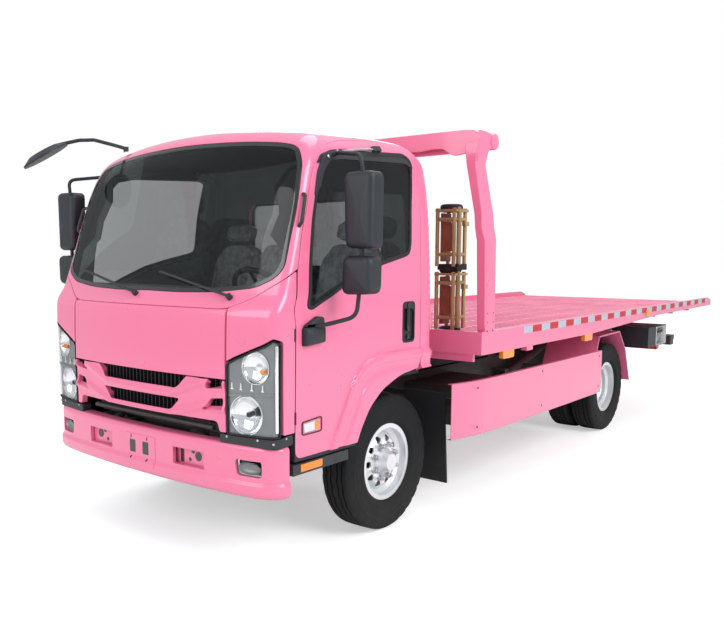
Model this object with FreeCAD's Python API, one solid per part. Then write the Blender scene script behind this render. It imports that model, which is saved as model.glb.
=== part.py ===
import FreeCAD, Part
import math
import os
from FreeCAD import Vector

# Flatbed tow truck with a tilting and sliding bed, millimetres.
# +Z is up, the truck faces -Y and its left side is +X.
# The origin is on the ground, under the middle of the truck's length.

# Driving dimensions of the truck as a whole
WHEELBASE = 3360.0
FRONT_OVERHANG = 1080.0
BED_TAIL = 5800.0
FRONT_AXLE_Y = (FRONT_OVERHANG - BED_TAIL) / 2
REAR_AXLE_Y = FRONT_AXLE_Y + WHEELBASE

# Wheels and tyres
TYRE_RADIUS = 387.5
TYRE_WIDTH = 200.0
RIM_RADIUS = 203.0
RIM_FLANGE_RADIUS = 219.0
RIM_WIDTH = 150.0
RIM_WALL = 9.0
FRONT_WHEEL_X = 785.0
REAR_OUTER_X = 795.0
TWIN_SPACING = 226.0
HUB_RADIUS = 78.0
HAND_HOLES = 10
HAND_HOLE_RADIUS = 19.0
SEAT_GAP = 0.3
RUN_GAP = 6.0

# Chassis frame
FRAME_TOP = 740.0
FRAME_HEIGHT = 180.0
FRAME_OUTER = 375.0
FRAME_FLANGE = 65.0
FRAME_PLATE = 8.0
FRAME_FRONT = 900.0
FRAME_TAIL = 4680.0
CROSSMEMBER_DEPTH = 90.0
LEAF_THICK = 12.0
LEAF_WIDTH = 64.0
KING_PIN_X = 712.0
KING_PIN_RADIUS = 16.0

# Cab
CAB_NOSE = 1066.0
CAB_HALF = 920.0
CAB_REAR = 380.0
CAB_ROOF = 2232.0
CAB_CORNER_SHARE = 0.93
CAB_CORNER_TURN = 0.072
ROOF_CROWN = 58.0
CAB_BOTTOM = 560.0
CAB_WALL = 45.0
CAB_FLOOR_TOP = 900.0
CAB_FLOOR = 40.0
PANEL_GAP = 6.0
DOOR_THICK = 60.0
PANEL_THICK = 25.0
LID_HALF = 630.0
LID_BOTTOM = 962.0
LID_TOP = 1300.0
LAMP_BOTTOM = 690.0
CAB_PIVOT_Y = -1010.0
CAB_PIVOT_Z = 620.0
PIVOT_RADIUS = 10.0
PIVOT_EYE_RADIUS = 18.0
GRILLE_BOTTOM = 705.0
STEERING_X = 470.0
DASH_HALF = 800.0
MIRROR_TOP = 2034.0
MIRROR_OUT = 1160.0
MIRROR_THICK = 80.0
ARM_RADIUS = 11.0

# Door hinges
HINGE_X = CAB_HALF + 2.0
HINGE_Y = -848.0
HINGE_PIN = 5.0
HINGE_EYE = 9.0
HINGE_LENGTH = 60.0
HINGE_HEIGHTS = (750.0, 1150.0)

# Bumper
BUMPER_HALF = 930.0
BUMPER_TOP = 650.0
BUMPER_BOTTOM = 395.0

# Bed, tilting frame and gantry
BED_HALF = 1110.0
BED_FRONT = 620.0
DECK_TOP = 1045.0
DECK_PLATE = 8.0
RAIL_TOP = 1095.0
RAIL_BOTTOM = 955.0
RAIL_WIDTH = 34.0
SILL_OUTER = 395.0
SILL_WIDTH = 80.0
SILL_BOTTOM = 895.0
TILT_TOP = SILL_BOTTOM - SEAT_GAP
TILT_BOTTOM = FRAME_TOP + 18.0
TILT_FRONT = 760.0
TILT_TAIL = 4860.0
TILT_PIVOT_Y = 4634.0
TILT_PIVOT_Z = 820.0
HINGE_PIN_RADIUS = 20.0
BED_RIB_PITCH = 274.0
MARKER_LENGTH = 150.0
CONTROL_FRONT = WHEELBASE + 590.0
CONTROL_LENGTH = 530.0
CONTROL_OUTER = BED_HALF - 70.0
DOLLY_OUTER = BED_HALF - 250.0
DOLLY_WIDE = 100.0
GANTRY_TOP = 2296.0
POST_WIDTH = 110.0

# Tilt cylinders, one on each side of the frame
CYLINDER_X = 436.0
CYLINDER_BASE_Y = 2200.0
CYLINDER_BASE_Z = 560.0
CYLINDER_EYE_Y = 3200.0
CYLINDER_EYE_Z = 820.0
BARREL_RADIUS = 36.0
ROD_RADIUS = 20.0
EYE_PIN_RADIUS = 14.0
EYE_DRIFT = 18.0

# Underlift at the tail
LIFT_PIVOT_Y = WHEELBASE + 590.0
LIFT_PIVOT_Z = 500.0
LIFT_BOOM_END = LIFT_PIVOT_Y + 1130.0
LIFT_BOOM_HALF = 80.0
LIFT_BAR_Z = 650.0
CROSSBAR_HALF = 880.0


def fy(y):
    """A length measured back from the front axle, as a place in the row."""
    return FRONT_AXLE_Y + y


def to_point(axis, u, v, w):
    """A point with w along the axis and u, v across it."""
    if axis == "x":
        return Vector(w, u, v)
    if axis == "y":
        return Vector(u, w, v)
    return Vector(u, v, w)


def outline(axis, points, w, radius=0.0):
    """A closed wire through (u, v) or (u, v, corner radius) points."""
    corners = []
    count = len(points)
    for i, p in enumerate(points):
        here = to_point(axis, p[0], p[1], w)
        before = points[i - 1]
        after = points[(i + 1) % count]
        back = to_point(axis, before[0], before[1], w) - here
        ahead = to_point(axis, after[0], after[1], w) - here
        bend = p[2] if len(p) > 2 else radius
        if bend <= 0:
            corners.append([here])
            continue
        half = back.getAngle(ahead) / 2
        reach = min(bend / math.tan(half), 0.49 * min(back.Length, ahead.Length))
        bend = reach * math.tan(half)
        first = here + back.normalize() * reach
        last = here + ahead.normalize() * reach
        inward = (back + ahead).normalize()
        middle = here + inward * (bend / math.sin(half) - bend)
        corners.append([first, middle, last])
    edges = []
    for i, corner in enumerate(corners):
        if len(corner) == 3:
            edges.append(Part.Arc(*corner).toShape())
        start = corner[-1]
        end = corners[(i + 1) % count][0]
        if (end - start).Length > 1e-6:
            edges.append(Part.LineSegment(start, end).toShape())
    return Part.Wire(edges)


def prism(axis, points, low, high, radius=0.0):
    """The outline of the points, drawn out along an axis from low to high."""
    face = Part.Face(outline(axis, points, low, radius))
    return face.extrude(to_point(axis, 0, 0, high - low))


def box(x0, x1, y0, y1, z0, z1):
    return Part.makeBox(x1 - x0, y1 - y0, z1 - z0, Vector(x0, y0, z0))


def rod(start, end, radius):
    """A round bar between two points."""
    start = Vector(*start)
    along = Vector(*end) - start
    return Part.makeCylinder(radius, along.Length, start, along)


def mirrored(shape):
    """The same piece on the other side of the truck."""
    return shape.mirror(Vector(0, 0, 0), Vector(1, 0, 0))


def both_sides(shape):
    return [shape, mirrored(shape)]


def joined(shapes):
    """One solid where the pieces meet, otherwise a set of solids."""
    result = shapes[0]
    if len(shapes) > 1:
        result = shapes[0].fuse(shapes[1:])
    return result.removeSplitter()


def cut(shape, tools):
    return shape.cut(tools) if tools else shape


def turned(profile, centre, axis=Vector(1, 0, 0)):
    """A closed profile of (along, radius) points, turned about the wheel's axis."""
    points = [Vector(centre[0] + a, centre[1], centre[2] + r) for a, r in profile]
    wire = Part.makePolygon(points + points[:1])
    return Part.Face(wire).revolve(Vector(*centre), axis, 360)


def save(name, shapes):
    if not isinstance(shapes, list):
        shapes = [shapes]
    solids = []
    for shape in shapes:
        solids.extend(shape.Solids)
    whole = solids[0] if len(solids) == 1 else Part.makeCompound(solids)
    whole.exportStep("parts/" + name + ".step")
    print(name, len(solids), round(sum(s.Volume for s in solids) / 1e6, 1), "litres")


# Wheels

def tyre(x):
    half = TYRE_WIDTH / 2
    seat = RIM_RADIUS + SEAT_GAP
    wall = TYRE_RADIUS - seat
    bead = RIM_WIDTH / 2 - RIM_WALL - SEAT_GAP
    profile = [(-bead, seat), (-bead, RIM_FLANGE_RADIUS + 1), (-0.93 * half, seat + 0.22 * wall)]
    profile += [(-half, seat + 0.48 * wall), (-0.93 * half, seat + 0.78 * wall)]
    profile += [(-0.8 * half, TYRE_RADIUS - 0.04 * wall), (-0.42 * half, TYRE_RADIUS)]
    profile += [(-a, r) for a, r in reversed(profile)]
    return turned(profile, (x, 0, TYRE_RADIUS))


def rim(x, face, hub_length):
    """A steel wheel: face is how far its disc stands out from the centre."""
    half = RIM_WIDTH / 2
    inner = RIM_RADIUS - RIM_WALL
    lip = RIM_FLANGE_RADIUS
    drop = RIM_RADIUS - 3 * RIM_WALL
    barrel = [(-half, lip), (-half + RIM_WALL, lip), (-half + RIM_WALL, RIM_RADIUS)]
    barrel += [(-0.3 * half, RIM_RADIUS), (-0.2 * half, drop), (0.2 * half, drop)]
    barrel += [(0.3 * half, RIM_RADIUS), (half - RIM_WALL, RIM_RADIUS)]
    barrel += [(half - RIM_WALL, lip), (half, lip), (half, inner)]
    barrel += [(0.3 * half + RIM_WALL, inner), (0.2 * half, drop - RIM_WALL)]
    barrel += [(-0.2 * half, drop - RIM_WALL), (-0.3 * half - RIM_WALL, inner)]
    barrel += [(-half, inner)]
    root = drop - 2.0
    step = 12.0 if face > 0 else RIM_WALL - 12.0
    disc = [(step - RIM_WALL, root), (step, root), (face, 0.78 * root)]
    disc += [(face, HUB_RADIUS - 1), (face - RIM_WALL, HUB_RADIUS - 1)]
    disc += [(face - RIM_WALL, 0.76 * root)]
    wheel = turned(barrel, (x, 0, TYRE_RADIUS))
    plate = turned(disc, (x, 0, TYRE_RADIUS))
    holes = []
    for i in range(HAND_HOLES):
        turn = 2 * math.pi * i / HAND_HOLES
        reach = 0.7 * root + HAND_HOLE_RADIUS * 0.55
        y = reach * math.cos(turn)
        z = TYRE_RADIUS + reach * math.sin(turn)
        low = min(0, 1.5 * face) - 30
        high = max(0, 1.5 * face) + 30
        holes.append(rod((x + low, y, z), (x + high, y, z), HAND_HOLE_RADIUS))
    hub_profile = [(face - RIM_WALL - 20, 0), (face - RIM_WALL - 20, HUB_RADIUS)]
    hub_profile += [(face + 6, HUB_RADIUS), (face + 0.5 * hub_length, 0.8 * HUB_RADIUS)]
    hub_profile += [(face + hub_length, 0.62 * HUB_RADIUS), (face + hub_length, 0)]
    hub = turned(hub_profile, (x, 0, TYRE_RADIUS))
    return joined([wheel, cut(plate, holes), hub])


def place(shape, y):
    moved = shape.copy()
    moved.translate(Vector(0, y, 0))
    return moved


def front_wheels():
    left_tyre = place(tyre(FRONT_WHEEL_X), FRONT_AXLE_Y)
    left_rim = place(rim(FRONT_WHEEL_X, 48.0, 62.0), FRONT_AXLE_Y)
    save("tyre_front_left", left_tyre)
    save("tyre_front_right", mirrored(left_tyre))
    save("rim_front_left", left_rim)
    save("rim_front_right", mirrored(left_rim))


def rear_wheels():
    inner_x = REAR_OUTER_X - TWIN_SPACING
    tyres = joined([place(tyre(REAR_OUTER_X), REAR_AXLE_Y)])
    inner_tyre = place(tyre(inner_x), REAR_AXLE_Y)
    outer = place(rim(REAR_OUTER_X, -60.0, 84.0), REAR_AXLE_Y)
    inner = place(mirrored(rim(-inner_x, -60.0, 20.0)), REAR_AXLE_Y)
    spacer = rod((inner_x + 40, REAR_AXLE_Y, TYRE_RADIUS), (REAR_OUTER_X - 60, REAR_AXLE_Y, TYRE_RADIUS), 100)
    wheels = joined([outer, inner, spacer])
    save("tyres_rear_left", [tyres, inner_tyre])
    save("tyres_rear_right", [mirrored(tyres), mirrored(inner_tyre)])
    save("rims_rear_left", wheels)
    save("rims_rear_right", mirrored(wheels))


# Chassis

def channel_rail(x_outer, width, y0, y1, z0, z1, plate):
    """A C-section beam along Y with its open side towards the middle."""
    x_in = x_outer - width
    points = [(x_outer, z0), (x_outer, z1), (x_in, z1), (x_in, z1 - plate)]
    points += [(x_outer - plate, z1 - plate), (x_outer - plate, z0 + plate)]
    points += [(x_in, z0 + plate), (x_in, z0)]
    return prism("y", points, y0, y1)


def chassis_frame():
    bottom = FRAME_TOP - FRAME_HEIGHT
    front = fy(-FRAME_FRONT)
    tail = fy(FRAME_TAIL)
    rail = channel_rail(FRAME_OUTER, FRAME_FLANGE, front, tail, bottom, FRAME_TOP, FRAME_PLATE)
    inside = FRAME_OUTER - FRAME_PLATE
    middle = (bottom + FRAME_TOP) / 2
    low = middle - CROSSMEMBER_DEPTH / 2
    high = middle + CROSSMEMBER_DEPTH / 2
    members = []
    for y in (-860.0, 1000.0, 1600.0, 2380.0, 3950.0, 4640.0):
        section = [(fy(y) - 30, low), (fy(y) + 30, low), (fy(y) + 30, high)]
        section += [(fy(y) - 30, high), (fy(y) - 30, high - FRAME_PLATE)]
        section += [(fy(y) + 30 - FRAME_PLATE, high - FRAME_PLATE)]
        section += [(fy(y) + 30 - FRAME_PLATE, low + FRAME_PLATE), (fy(y) - 30, low + FRAME_PLATE)]
        members.append(prism("x", section, -inside, inside))
    save("chassis_frame", joined(both_sides(rail) + members))


def leaf_spring(y_axle, span, camber, leaves, z_seat, x):
    """Stacked leaves, each an arc shorter than the one above it."""
    pieces = []
    for i in range(leaves):
        half = span * (1 - i / leaves) / 2
        rise = camber * (half * 2 / span) ** 2
        z = z_seat - LEAF_THICK * i
        below = [Vector(x, y_axle - half, z + rise), Vector(x, y_axle, z), Vector(x, y_axle + half, z + rise)]
        above = [point + Vector(0, 0, LEAF_THICK) for point in reversed(below)]
        low = Part.Arc(*below).toShape()
        high = Part.Arc(*above).toShape()
        ends = Part.LineSegment(below[2], above[0]).toShape()
        start = Part.LineSegment(above[2], below[0]).toShape()
        face = Part.Face(Part.Wire([low, ends, high, start]))
        pieces.append(face.extrude(Vector(LEAF_WIDTH, 0, 0)))
    return joined(pieces)


def front_axle():
    beam_end = KING_PIN_X - 34
    z = TYRE_RADIUS
    profile = [(-beam_end, z + 30), (-beam_end, z - 30), (-500, z - 70), (-400, z - 100)]
    profile += [(400, z - 100), (500, z - 70), (beam_end, z - 30), (beam_end, z + 30)]
    profile += [(500, z - 10), (400, z - 35), (-400, z - 35), (-500, z - 10)]
    beam = prism("y", profile, FRONT_AXLE_Y - 38, FRONT_AXLE_Y + 38)
    boss = rod((KING_PIN_X, FRONT_AXLE_Y, z - 42), (KING_PIN_X, FRONT_AXLE_Y, z + 42), 40)
    pin = rod((KING_PIN_X, FRONT_AXLE_Y, z - 95), (KING_PIN_X, FRONT_AXLE_Y, z + 95), KING_PIN_RADIUS)
    spring = leaf_spring(FRONT_AXLE_Y, 1200, 105, 5, z - 35 + 60, FRAME_OUTER - LEAF_WIDTH)
    seat = box(FRAME_OUTER - LEAF_WIDTH, FRAME_OUTER, FRONT_AXLE_Y - 50, FRONT_AXLE_Y + 50, z - 36, z + 30)
    shackles = []
    for y in (-590.0, 590.0):
        reach = FRAME_TOP - FRAME_HEIGHT
        shackles.append(box(FRAME_OUTER - 60, FRAME_OUTER - 4, fy(y) - 25, fy(y) + 25, z + 110, reach))
    side = [boss, pin, spring, seat] + shackles
    save("front_axle", joined([beam] + side + [mirrored(s) for s in side]))


def shaft_line():
    """Where the propeller shaft starts, where the axle's nose is, and the way between."""
    start = Vector(0, fy(900), 540)
    nose = Vector(0, REAR_AXLE_Y - 260, TYRE_RADIUS + 20)
    return start, nose, (nose - start).normalize()


def rear_axle():
    z = TYRE_RADIUS
    hub_face = REAR_OUTER_X - TWIN_SPACING + 40 - SEAT_GAP
    tube = rod((-hub_face, REAR_AXLE_Y, z), (hub_face, REAR_AXLE_Y, z), 62)
    half_bowl = [(170, 0), (170, 66), (150, 100), (105, 145), (45, 166)]
    bowl = turned([(-a, r) for a, r in half_bowl] + half_bowl[::-1], (0, REAR_AXLE_Y, z))
    _, nose_end, along = shaft_line()
    nose = rod(tuple(nose_end), tuple(nose_end + along * 160), 80)
    spring = leaf_spring(REAR_AXLE_Y, 1250, 22, 6, z + 122, FRAME_OUTER - LEAF_WIDTH)
    seat = box(FRAME_OUTER - LEAF_WIDTH, FRAME_OUTER, REAR_AXLE_Y - 60, REAR_AXLE_Y + 60, z, z + 70)
    hangers = []
    for y in (-600.0, 600.0):
        front = REAR_AXLE_Y + y - 25
        under = FRAME_TOP - FRAME_HEIGHT
        hangers.append(box(FRAME_OUTER - 60, FRAME_OUTER - 4, front, front + 50, z + 140, under))
    side = [spring, seat] + hangers
    save("rear_axle", joined([tube, bowl, nose] + side + [mirrored(s) for s in side]))


def knuckles():
    z = TYRE_RADIUS
    y = FRONT_AXLE_Y
    gap = RUN_GAP
    hub_x = FRONT_WHEEL_X + 48.0 - RIM_WALL - 20
    yoke = box(KING_PIN_X - 30, KING_PIN_X + 30, y - 30, y + 30, z - 95, z + 95)
    room = rod((KING_PIN_X, y, z - 42 - gap), (KING_PIN_X, y, z + 42 + gap), 40 + gap)
    web = box(KING_PIN_X + 36, KING_PIN_X + 52, y - 60, y + 60, z - 95, z + 95)
    bridge_low = box(KING_PIN_X, KING_PIN_X + 40, y - 30, y + 30, z - 95, z - 42 - gap)
    bridge_high = box(KING_PIN_X, KING_PIN_X + 40, y - 30, y + 30, z + 42 + gap, z + 95)
    hole = rod((KING_PIN_X, y, z - 100), (KING_PIN_X, y, z + 100), KING_PIN_RADIUS + 0.05)
    pads = cut(joined([yoke, web, bridge_low, bridge_high]), [room, hole])
    drum = rod((KING_PIN_X + 52, y, z), (hub_x - SEAT_GAP, y, z), 60)
    plate = rod((KING_PIN_X + 44, y, z), (KING_PIN_X + 52, y, z), 150)
    left = joined([pads, drum, plate])
    save("knuckle_left", left)
    save("knuckle_right", mirrored(left))


def engine_and_driveline():
    block = box(-260, 260, fy(-520), fy(240), 470, 800)
    sump = prism("y", [(-180, 475), (-140, 380), (140, 380), (180, 475)], fy(-480), fy(100))
    save("engine_block", joined([block, sump]))
    section = [(-150, 480), (-110, 690), (110, 690), (150, 480), (90, 420), (-90, 420)]
    gearbox = prism("y", section, fy(240), fy(900))
    start, nose_end, along = shaft_line()
    shaft = rod(tuple(start), tuple(nose_end - along * SEAT_GAP), 38)
    save("driveline", joined([gearbox, shaft]))


def tanks_and_exhaust():
    out = -FRAME_OUTER - 450
    section = [(out, 420), (out, 690), (-FRAME_OUTER, 690), (-FRAME_OUTER, 420)]
    tank = prism("y", section, fy(1150), fy(2050), 40)
    save("fuel_tank", tank)
    section = [(FRAME_OUTER, 430), (FRAME_OUTER, 690), (860, 690), (860, 430)]
    battery = prism("y", section, fy(900), fy(1500), 12)
    save("battery_box", battery)
    pipe_y = [fy(400), fy(700)]
    muffler = rod((-560, pipe_y[1], 520), (-560, fy(1100), 520), 95)
    inlet = rod((-560, pipe_y[0], 520), (-560, pipe_y[1], 520), 32)
    strap = box(-600, -FRAME_OUTER, fy(860), fy(900), 590, 640)
    save("exhaust", joined([muffler, inlet, strap]))


def cab_mounts():
    """Front pivot brackets and the rear stay that the cab rests on."""
    x0 = FRAME_OUTER - FRAME_FLANGE
    pivot_y = fy(CAB_PIVOT_Y)
    frame_end = fy(-FRAME_FRONT)
    low = FRAME_TOP - FRAME_HEIGHT
    eye = rod((x0, pivot_y, CAB_PIVOT_Z), (x0 + 30, pivot_y, CAB_PIVOT_Z), PIVOT_EYE_RADIUS)
    plate = prism("x", [(pivot_y - 6, CAB_PIVOT_Z - 16), (frame_end, low), (frame_end, CAB_PIVOT_Z + 70),
                        (pivot_y, CAB_PIVOT_Z + PIVOT_EYE_RADIUS)], x0, x0 + 30)
    hole = rod((x0 - 5, pivot_y, CAB_PIVOT_Z), (x0 + 35, pivot_y, CAB_PIVOT_Z), PIVOT_RADIUS + 0.05)
    left = cut(joined([eye, plate]), [hole])
    rear = fy(CAB_REAR)
    rest = CAB_FLOOR_TOP - CAB_FLOOR - SEAT_GAP
    leg = box(x0, FRAME_OUTER, rear - 80, rear - 20, FRAME_TOP, rest)
    arch = box(-FRAME_OUTER, FRAME_OUTER, rear - 80, rear - 20, rest - 45, rest)
    save("cab_mounts", [left, mirrored(left), joined([arch, leg, mirrored(leg)])])


def front_bumper():
    """A curved beam with turned-back ends, tow recesses and a plate panel."""
    nose = fy(-FRONT_OVERHANG)
    wall = 30.0

    def beam(inset, low, high):
        half = BUMPER_HALF - inset
        back = nose + 198
        front_corner = nose + 42 + inset
        side_y = nose + 150 + inset
        bow_y = nose + 78 + inset

        def v(x, y):
            return Vector(x, y, low)

        edges = [Part.LineSegment(v(-half, back), v(-half, side_y)).toShape()]
        edges.append(Part.Arc(v(-half, side_y), v(75 - half, bow_y), v(230 - half, front_corner)).toShape())
        turn_x = half - 230
        edges.append(Part.Arc(v(-turn_x, front_corner), v(0, nose + inset), v(turn_x, front_corner)).toShape())
        edges.append(Part.Arc(v(half - 230, front_corner), v(half - 75, bow_y), v(half, side_y)).toShape())
        edges.append(Part.LineSegment(v(half, side_y), v(half, back)).toShape())
        edges.append(Part.LineSegment(v(half, back), v(-half, back)).toShape())
        wire = Part.Wire(edges)
        return Part.Face(wire).extrude(Vector(0, 0, high - low))

    body = beam(0, BUMPER_BOTTOM, BUMPER_TOP)
    inside = beam(wall, BUMPER_BOTTOM - 5, BUMPER_TOP - wall)
    inner_half = BUMPER_HALF - wall
    behind = box(-inner_half, inner_half, nose + 155, nose + 260, BUMPER_BOTTOM - 5, BUMPER_TOP + 5)
    relief = box(-700, 700, nose + 105, nose + 160, BUMPER_BOTTOM - 5, BUMPER_TOP + 5)
    shell = cut(body, [inside, behind, relief])
    recesses = []
    for side in (-1, 1):
        x0, x1 = sorted((side * 257.0, side * 488.0))
        recesses.append(box(x0, x1, nose - 10, nose + 60, 492, 587))
        x0, x1 = sorted((side * 690.0, side * 838.0))
        recesses.append(box(x0, x1, nose - 10, nose + 140, 512, 574))
    holes = []
    for x in (-120.0, 120.0):
        for z in (470.0, 590.0):
            holes.append(rod((x, nose - 10, z), (x, nose + 60, z), 5.0))
    notch_y = nose + 36
    for side in (-1, 1):
        x0, x1 = sorted((side * 300.0, side * 386.0))
        holes.append(box(x0, x1, notch_y, nose + 160, BUMPER_TOP - wall - 1, BUMPER_TOP + 1))
    shell = cut(shell, recesses + holes)
    low = 512 + SEAT_GAP
    high = 574 - SEAT_GAP
    inner = 690 + SEAT_GAP
    outer = 838 - SEAT_GAP
    lamp = prism("y", [(inner, low), (inner, high), (outer, high), (outer, low)], nose + 62, nose + 125)
    arm = box(262, 292, nose + 25, fy(-890), 606, 640)
    save("front_bumper", joined([shell, arm, mirrored(arm)]))
    save("bumper_lamps", both_sides(lamp))


def side_skirts():
    front = fy(CAB_REAR + 90)
    back = fy(WHEELBASE - 620)
    curve = [(1000, front), (1045, front + 110), (1060, front + 300)]
    outer = Part.Arc(*[Vector(x, y, 443) for x, y in curve]).toShape()
    side = Part.LineSegment(Vector(1060, front + 300, 443), Vector(1060, back, 443)).toShape()
    end = Part.LineSegment(Vector(1060, back, 443), Vector(1034, back, 443)).toShape()
    inner = Part.LineSegment(Vector(1034, back, 443), Vector(1034, front + 300, 443)).toShape()
    curve = [(1034, front + 300), (1020, front + 114), (976, front + 8)]
    inner_arc = Part.Arc(*[Vector(x, y, 443) for x, y in curve]).toShape()
    close = Part.LineSegment(Vector(976, front + 8, 443), Vector(1000, front, 443)).toShape()
    face = Part.Face(Part.Wire([outer, side, end, inner, inner_arc, close]))
    panel = face.extrude(Vector(0, 0, 343))
    arms = []
    for y in (760.0, 1600.0, 2130.0):
        arms.append(box(FRAME_OUTER, 1036, fy(y), fy(y) + 40, FRAME_TOP - 40, FRAME_TOP - 5))
    left = joined([panel] + arms)
    save("side_skirts", both_sides(left))


def strip(points, width, x0, x1):
    """A bent sheet that follows the points, seen from the side."""
    other = []
    for i, (y, z) in enumerate(points):
        a = points[max(i - 1, 0)]
        b = points[min(i + 1, len(points) - 1)]
        along = Vector(0, b[0] - a[0], b[1] - a[1]).normalize()
        other.append((y - along.z * width, z + along.y * width))
    return prism("x", list(points) + other[::-1], x0, x1)


def mudguards():
    y = REAR_AXLE_Y
    bends = [(y - 470, 560), (y - 330, 860), (y + 140, 868), (y + 310, 690), (y + 440, 400)]
    guard = strip(bends, 12.0, 480.0, 930.0)
    stay = box(FRAME_OUTER, SILL_OUTER + 27, y + 60, y + 100, FRAME_TOP - 40, FRAME_TOP - 10)
    post = box(SILL_OUTER + 7, SILL_OUTER + 27, y + 60, y + 100, FRAME_TOP - 40, 876)
    reach = box(SILL_OUTER + 7, 500, y + 60, y + 100, 864, 876)
    left = joined([guard, stay, post, reach])
    save("rear_mudguards", both_sides(left))
    flap = prism("x", [(fy(545), 150), (fy(557), 150), (fy(512), 720), (fy(500), 720)], 640, 930)
    bar = box(FRAME_OUTER, 900, fy(512), fy(540), FRAME_TOP - 60, FRAME_TOP - 30)
    save("front_mud_flaps", both_sides(joined([flap, bar])))


def control_box():
    """The lever box behind the rear wheel, open on its outer side."""
    front = fy(CONTROL_FRONT)
    rear = front + CONTROL_LENGTH
    outer = CONTROL_OUTER
    body = box(outer - 340, outer, front, rear, 690, 880)
    hollow = box(outer - 280, outer + 10, front + 230, rear - 15, 705, 865)
    arm = box(FRAME_OUTER, outer - 335, front + 150, front + 210, FRAME_TOP - 50, FRAME_TOP - 5)
    levers = []
    for i in range(4):
        y = front + 270 + 60 * i
        levers.append(rod((outer - 285, y, 720), (outer - 80, y, 735), 5))
        levers.append(rod((outer - 86, y, 735), (outer - 62, y, 735), 13))
    save("control_box", joined([cut(body, [hollow]), arm] + levers))


def tail_lamps():
    y0 = fy(FRAME_TAIL)
    board = box(-760, 760, y0, y0 + 40, 640, 700)
    lamp = prism("y", [(560, 600), (560, 740), (900, 740), (900, 600)], y0 + 5, y0 + 70, 10)
    save("tail_lamps", joined([board] + both_sides(lamp)))


# Cab

def cab_section(z, nose, half, rear, bend, inset=0.0):
    """One level of the cab's outer form, seen from above."""
    nose = fy(nose) + inset
    half = half - inset
    rear = fy(rear) - inset
    xc = CAB_CORNER_SHARE * half
    shoulder = nose + bend * half
    turn = CAB_CORNER_TURN * half
    side = shoulder + turn
    bow_x = xc + 0.75 * (half - xc)
    bow_y = shoulder + 0.32 * turn
    r = 60.0
    k = r * (1 - math.sqrt(0.5))

    def v(x, y):
        return Vector(x, y, z)

    edges = [Part.Arc(v(-xc, shoulder), v(0, nose), v(xc, shoulder)).toShape()]
    edges.append(Part.Arc(v(xc, shoulder), v(bow_x, bow_y), v(half, side)).toShape())
    edges.append(Part.LineSegment(v(half, side), v(half, rear - r)).toShape())
    edges.append(Part.Arc(v(half, rear - r), v(half - k, rear - k), v(half - r, rear)).toShape())
    edges.append(Part.LineSegment(v(half - r, rear), v(r - half, rear)).toShape())
    edges.append(Part.Arc(v(r - half, rear), v(k - half, rear - k), v(-half, rear - r)).toShape())
    edges.append(Part.LineSegment(v(-half, rear - r), v(-half, side)).toShape())
    edges.append(Part.Arc(v(-half, side), v(-bow_x, bow_y), v(-xc, shoulder)).toShape())
    return Part.Wire(edges)


def cab_levels():
    """Height, nose, half width, rear wall and bend of the front, level by level."""
    levels = [(CAB_BOTTOM, -CAB_NOSE, CAB_HALF - 3, CAB_REAR, 0.080)]
    levels += [(960.0, -CAB_NOSE - 4, CAB_HALF, CAB_REAR, 0.080)]
    levels += [(1270.0, -CAB_NOSE + 6, CAB_HALF, CAB_REAR, 0.076)]
    levels += [(1372.0, -CAB_NOSE + 71, CAB_HALF - 2, CAB_REAR, 0.066)]
    levels += [(1500.0, -CAB_NOSE + 126, CAB_HALF - 7, CAB_REAR, 0.058)]
    levels += [(1750.0, -CAB_NOSE + 208, CAB_HALF - 21, CAB_REAR, 0.056)]
    levels += [(2050.0, -CAB_NOSE + 314, CAB_HALF - 52, CAB_REAR - 16, 0.056)]
    levels += [(2135.0, -CAB_NOSE + 361, CAB_HALF - 82, CAB_REAR - 62, 0.060)]
    levels += [(2194.0, -CAB_NOSE + 446, CAB_HALF - 145, CAB_REAR - 160, 0.066)]
    levels += [(CAB_ROOF, -CAB_NOSE + 640, CAB_HALF - 360, CAB_REAR - 330, 0.070)]
    return levels


def cab_form(inset=0.0):
    """The whole outer form of the cab, or the same form some way inside it."""
    wires = []
    levels = cab_levels()
    last = len(levels) - 1
    for i, (z, nose, half, rear, bend) in enumerate(levels):
        drop = inset * i / last if i > 4 else 0.0
        wires.append(cab_section(z - drop, nose, half, rear, bend, inset))
    form = Part.makeLoft(wires, True, True)
    crown = CAB_ROOF - 6 - inset
    edge = crown - ROOF_CROWN
    wide = CAB_HALF + 20
    y = fy(-CAB_NOSE - 40)
    low = CAB_BOTTOM - 20
    arch = Part.Arc(Vector(-wide, y, edge), Vector(0, y, crown), Vector(wide, y, edge)).toShape()
    right = Part.LineSegment(Vector(wide, y, edge), Vector(wide, y, low)).toShape()
    base = Part.LineSegment(Vector(wide, y, low), Vector(-wide, y, low)).toShape()
    left = Part.LineSegment(Vector(-wide, y, low), Vector(-wide, y, edge)).toShape()
    under = Part.Face(Part.Wire([arch, right, base, left]))
    return form.common(under.extrude(Vector(0, CAB_NOSE + CAB_REAR + 80, 0)))


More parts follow.
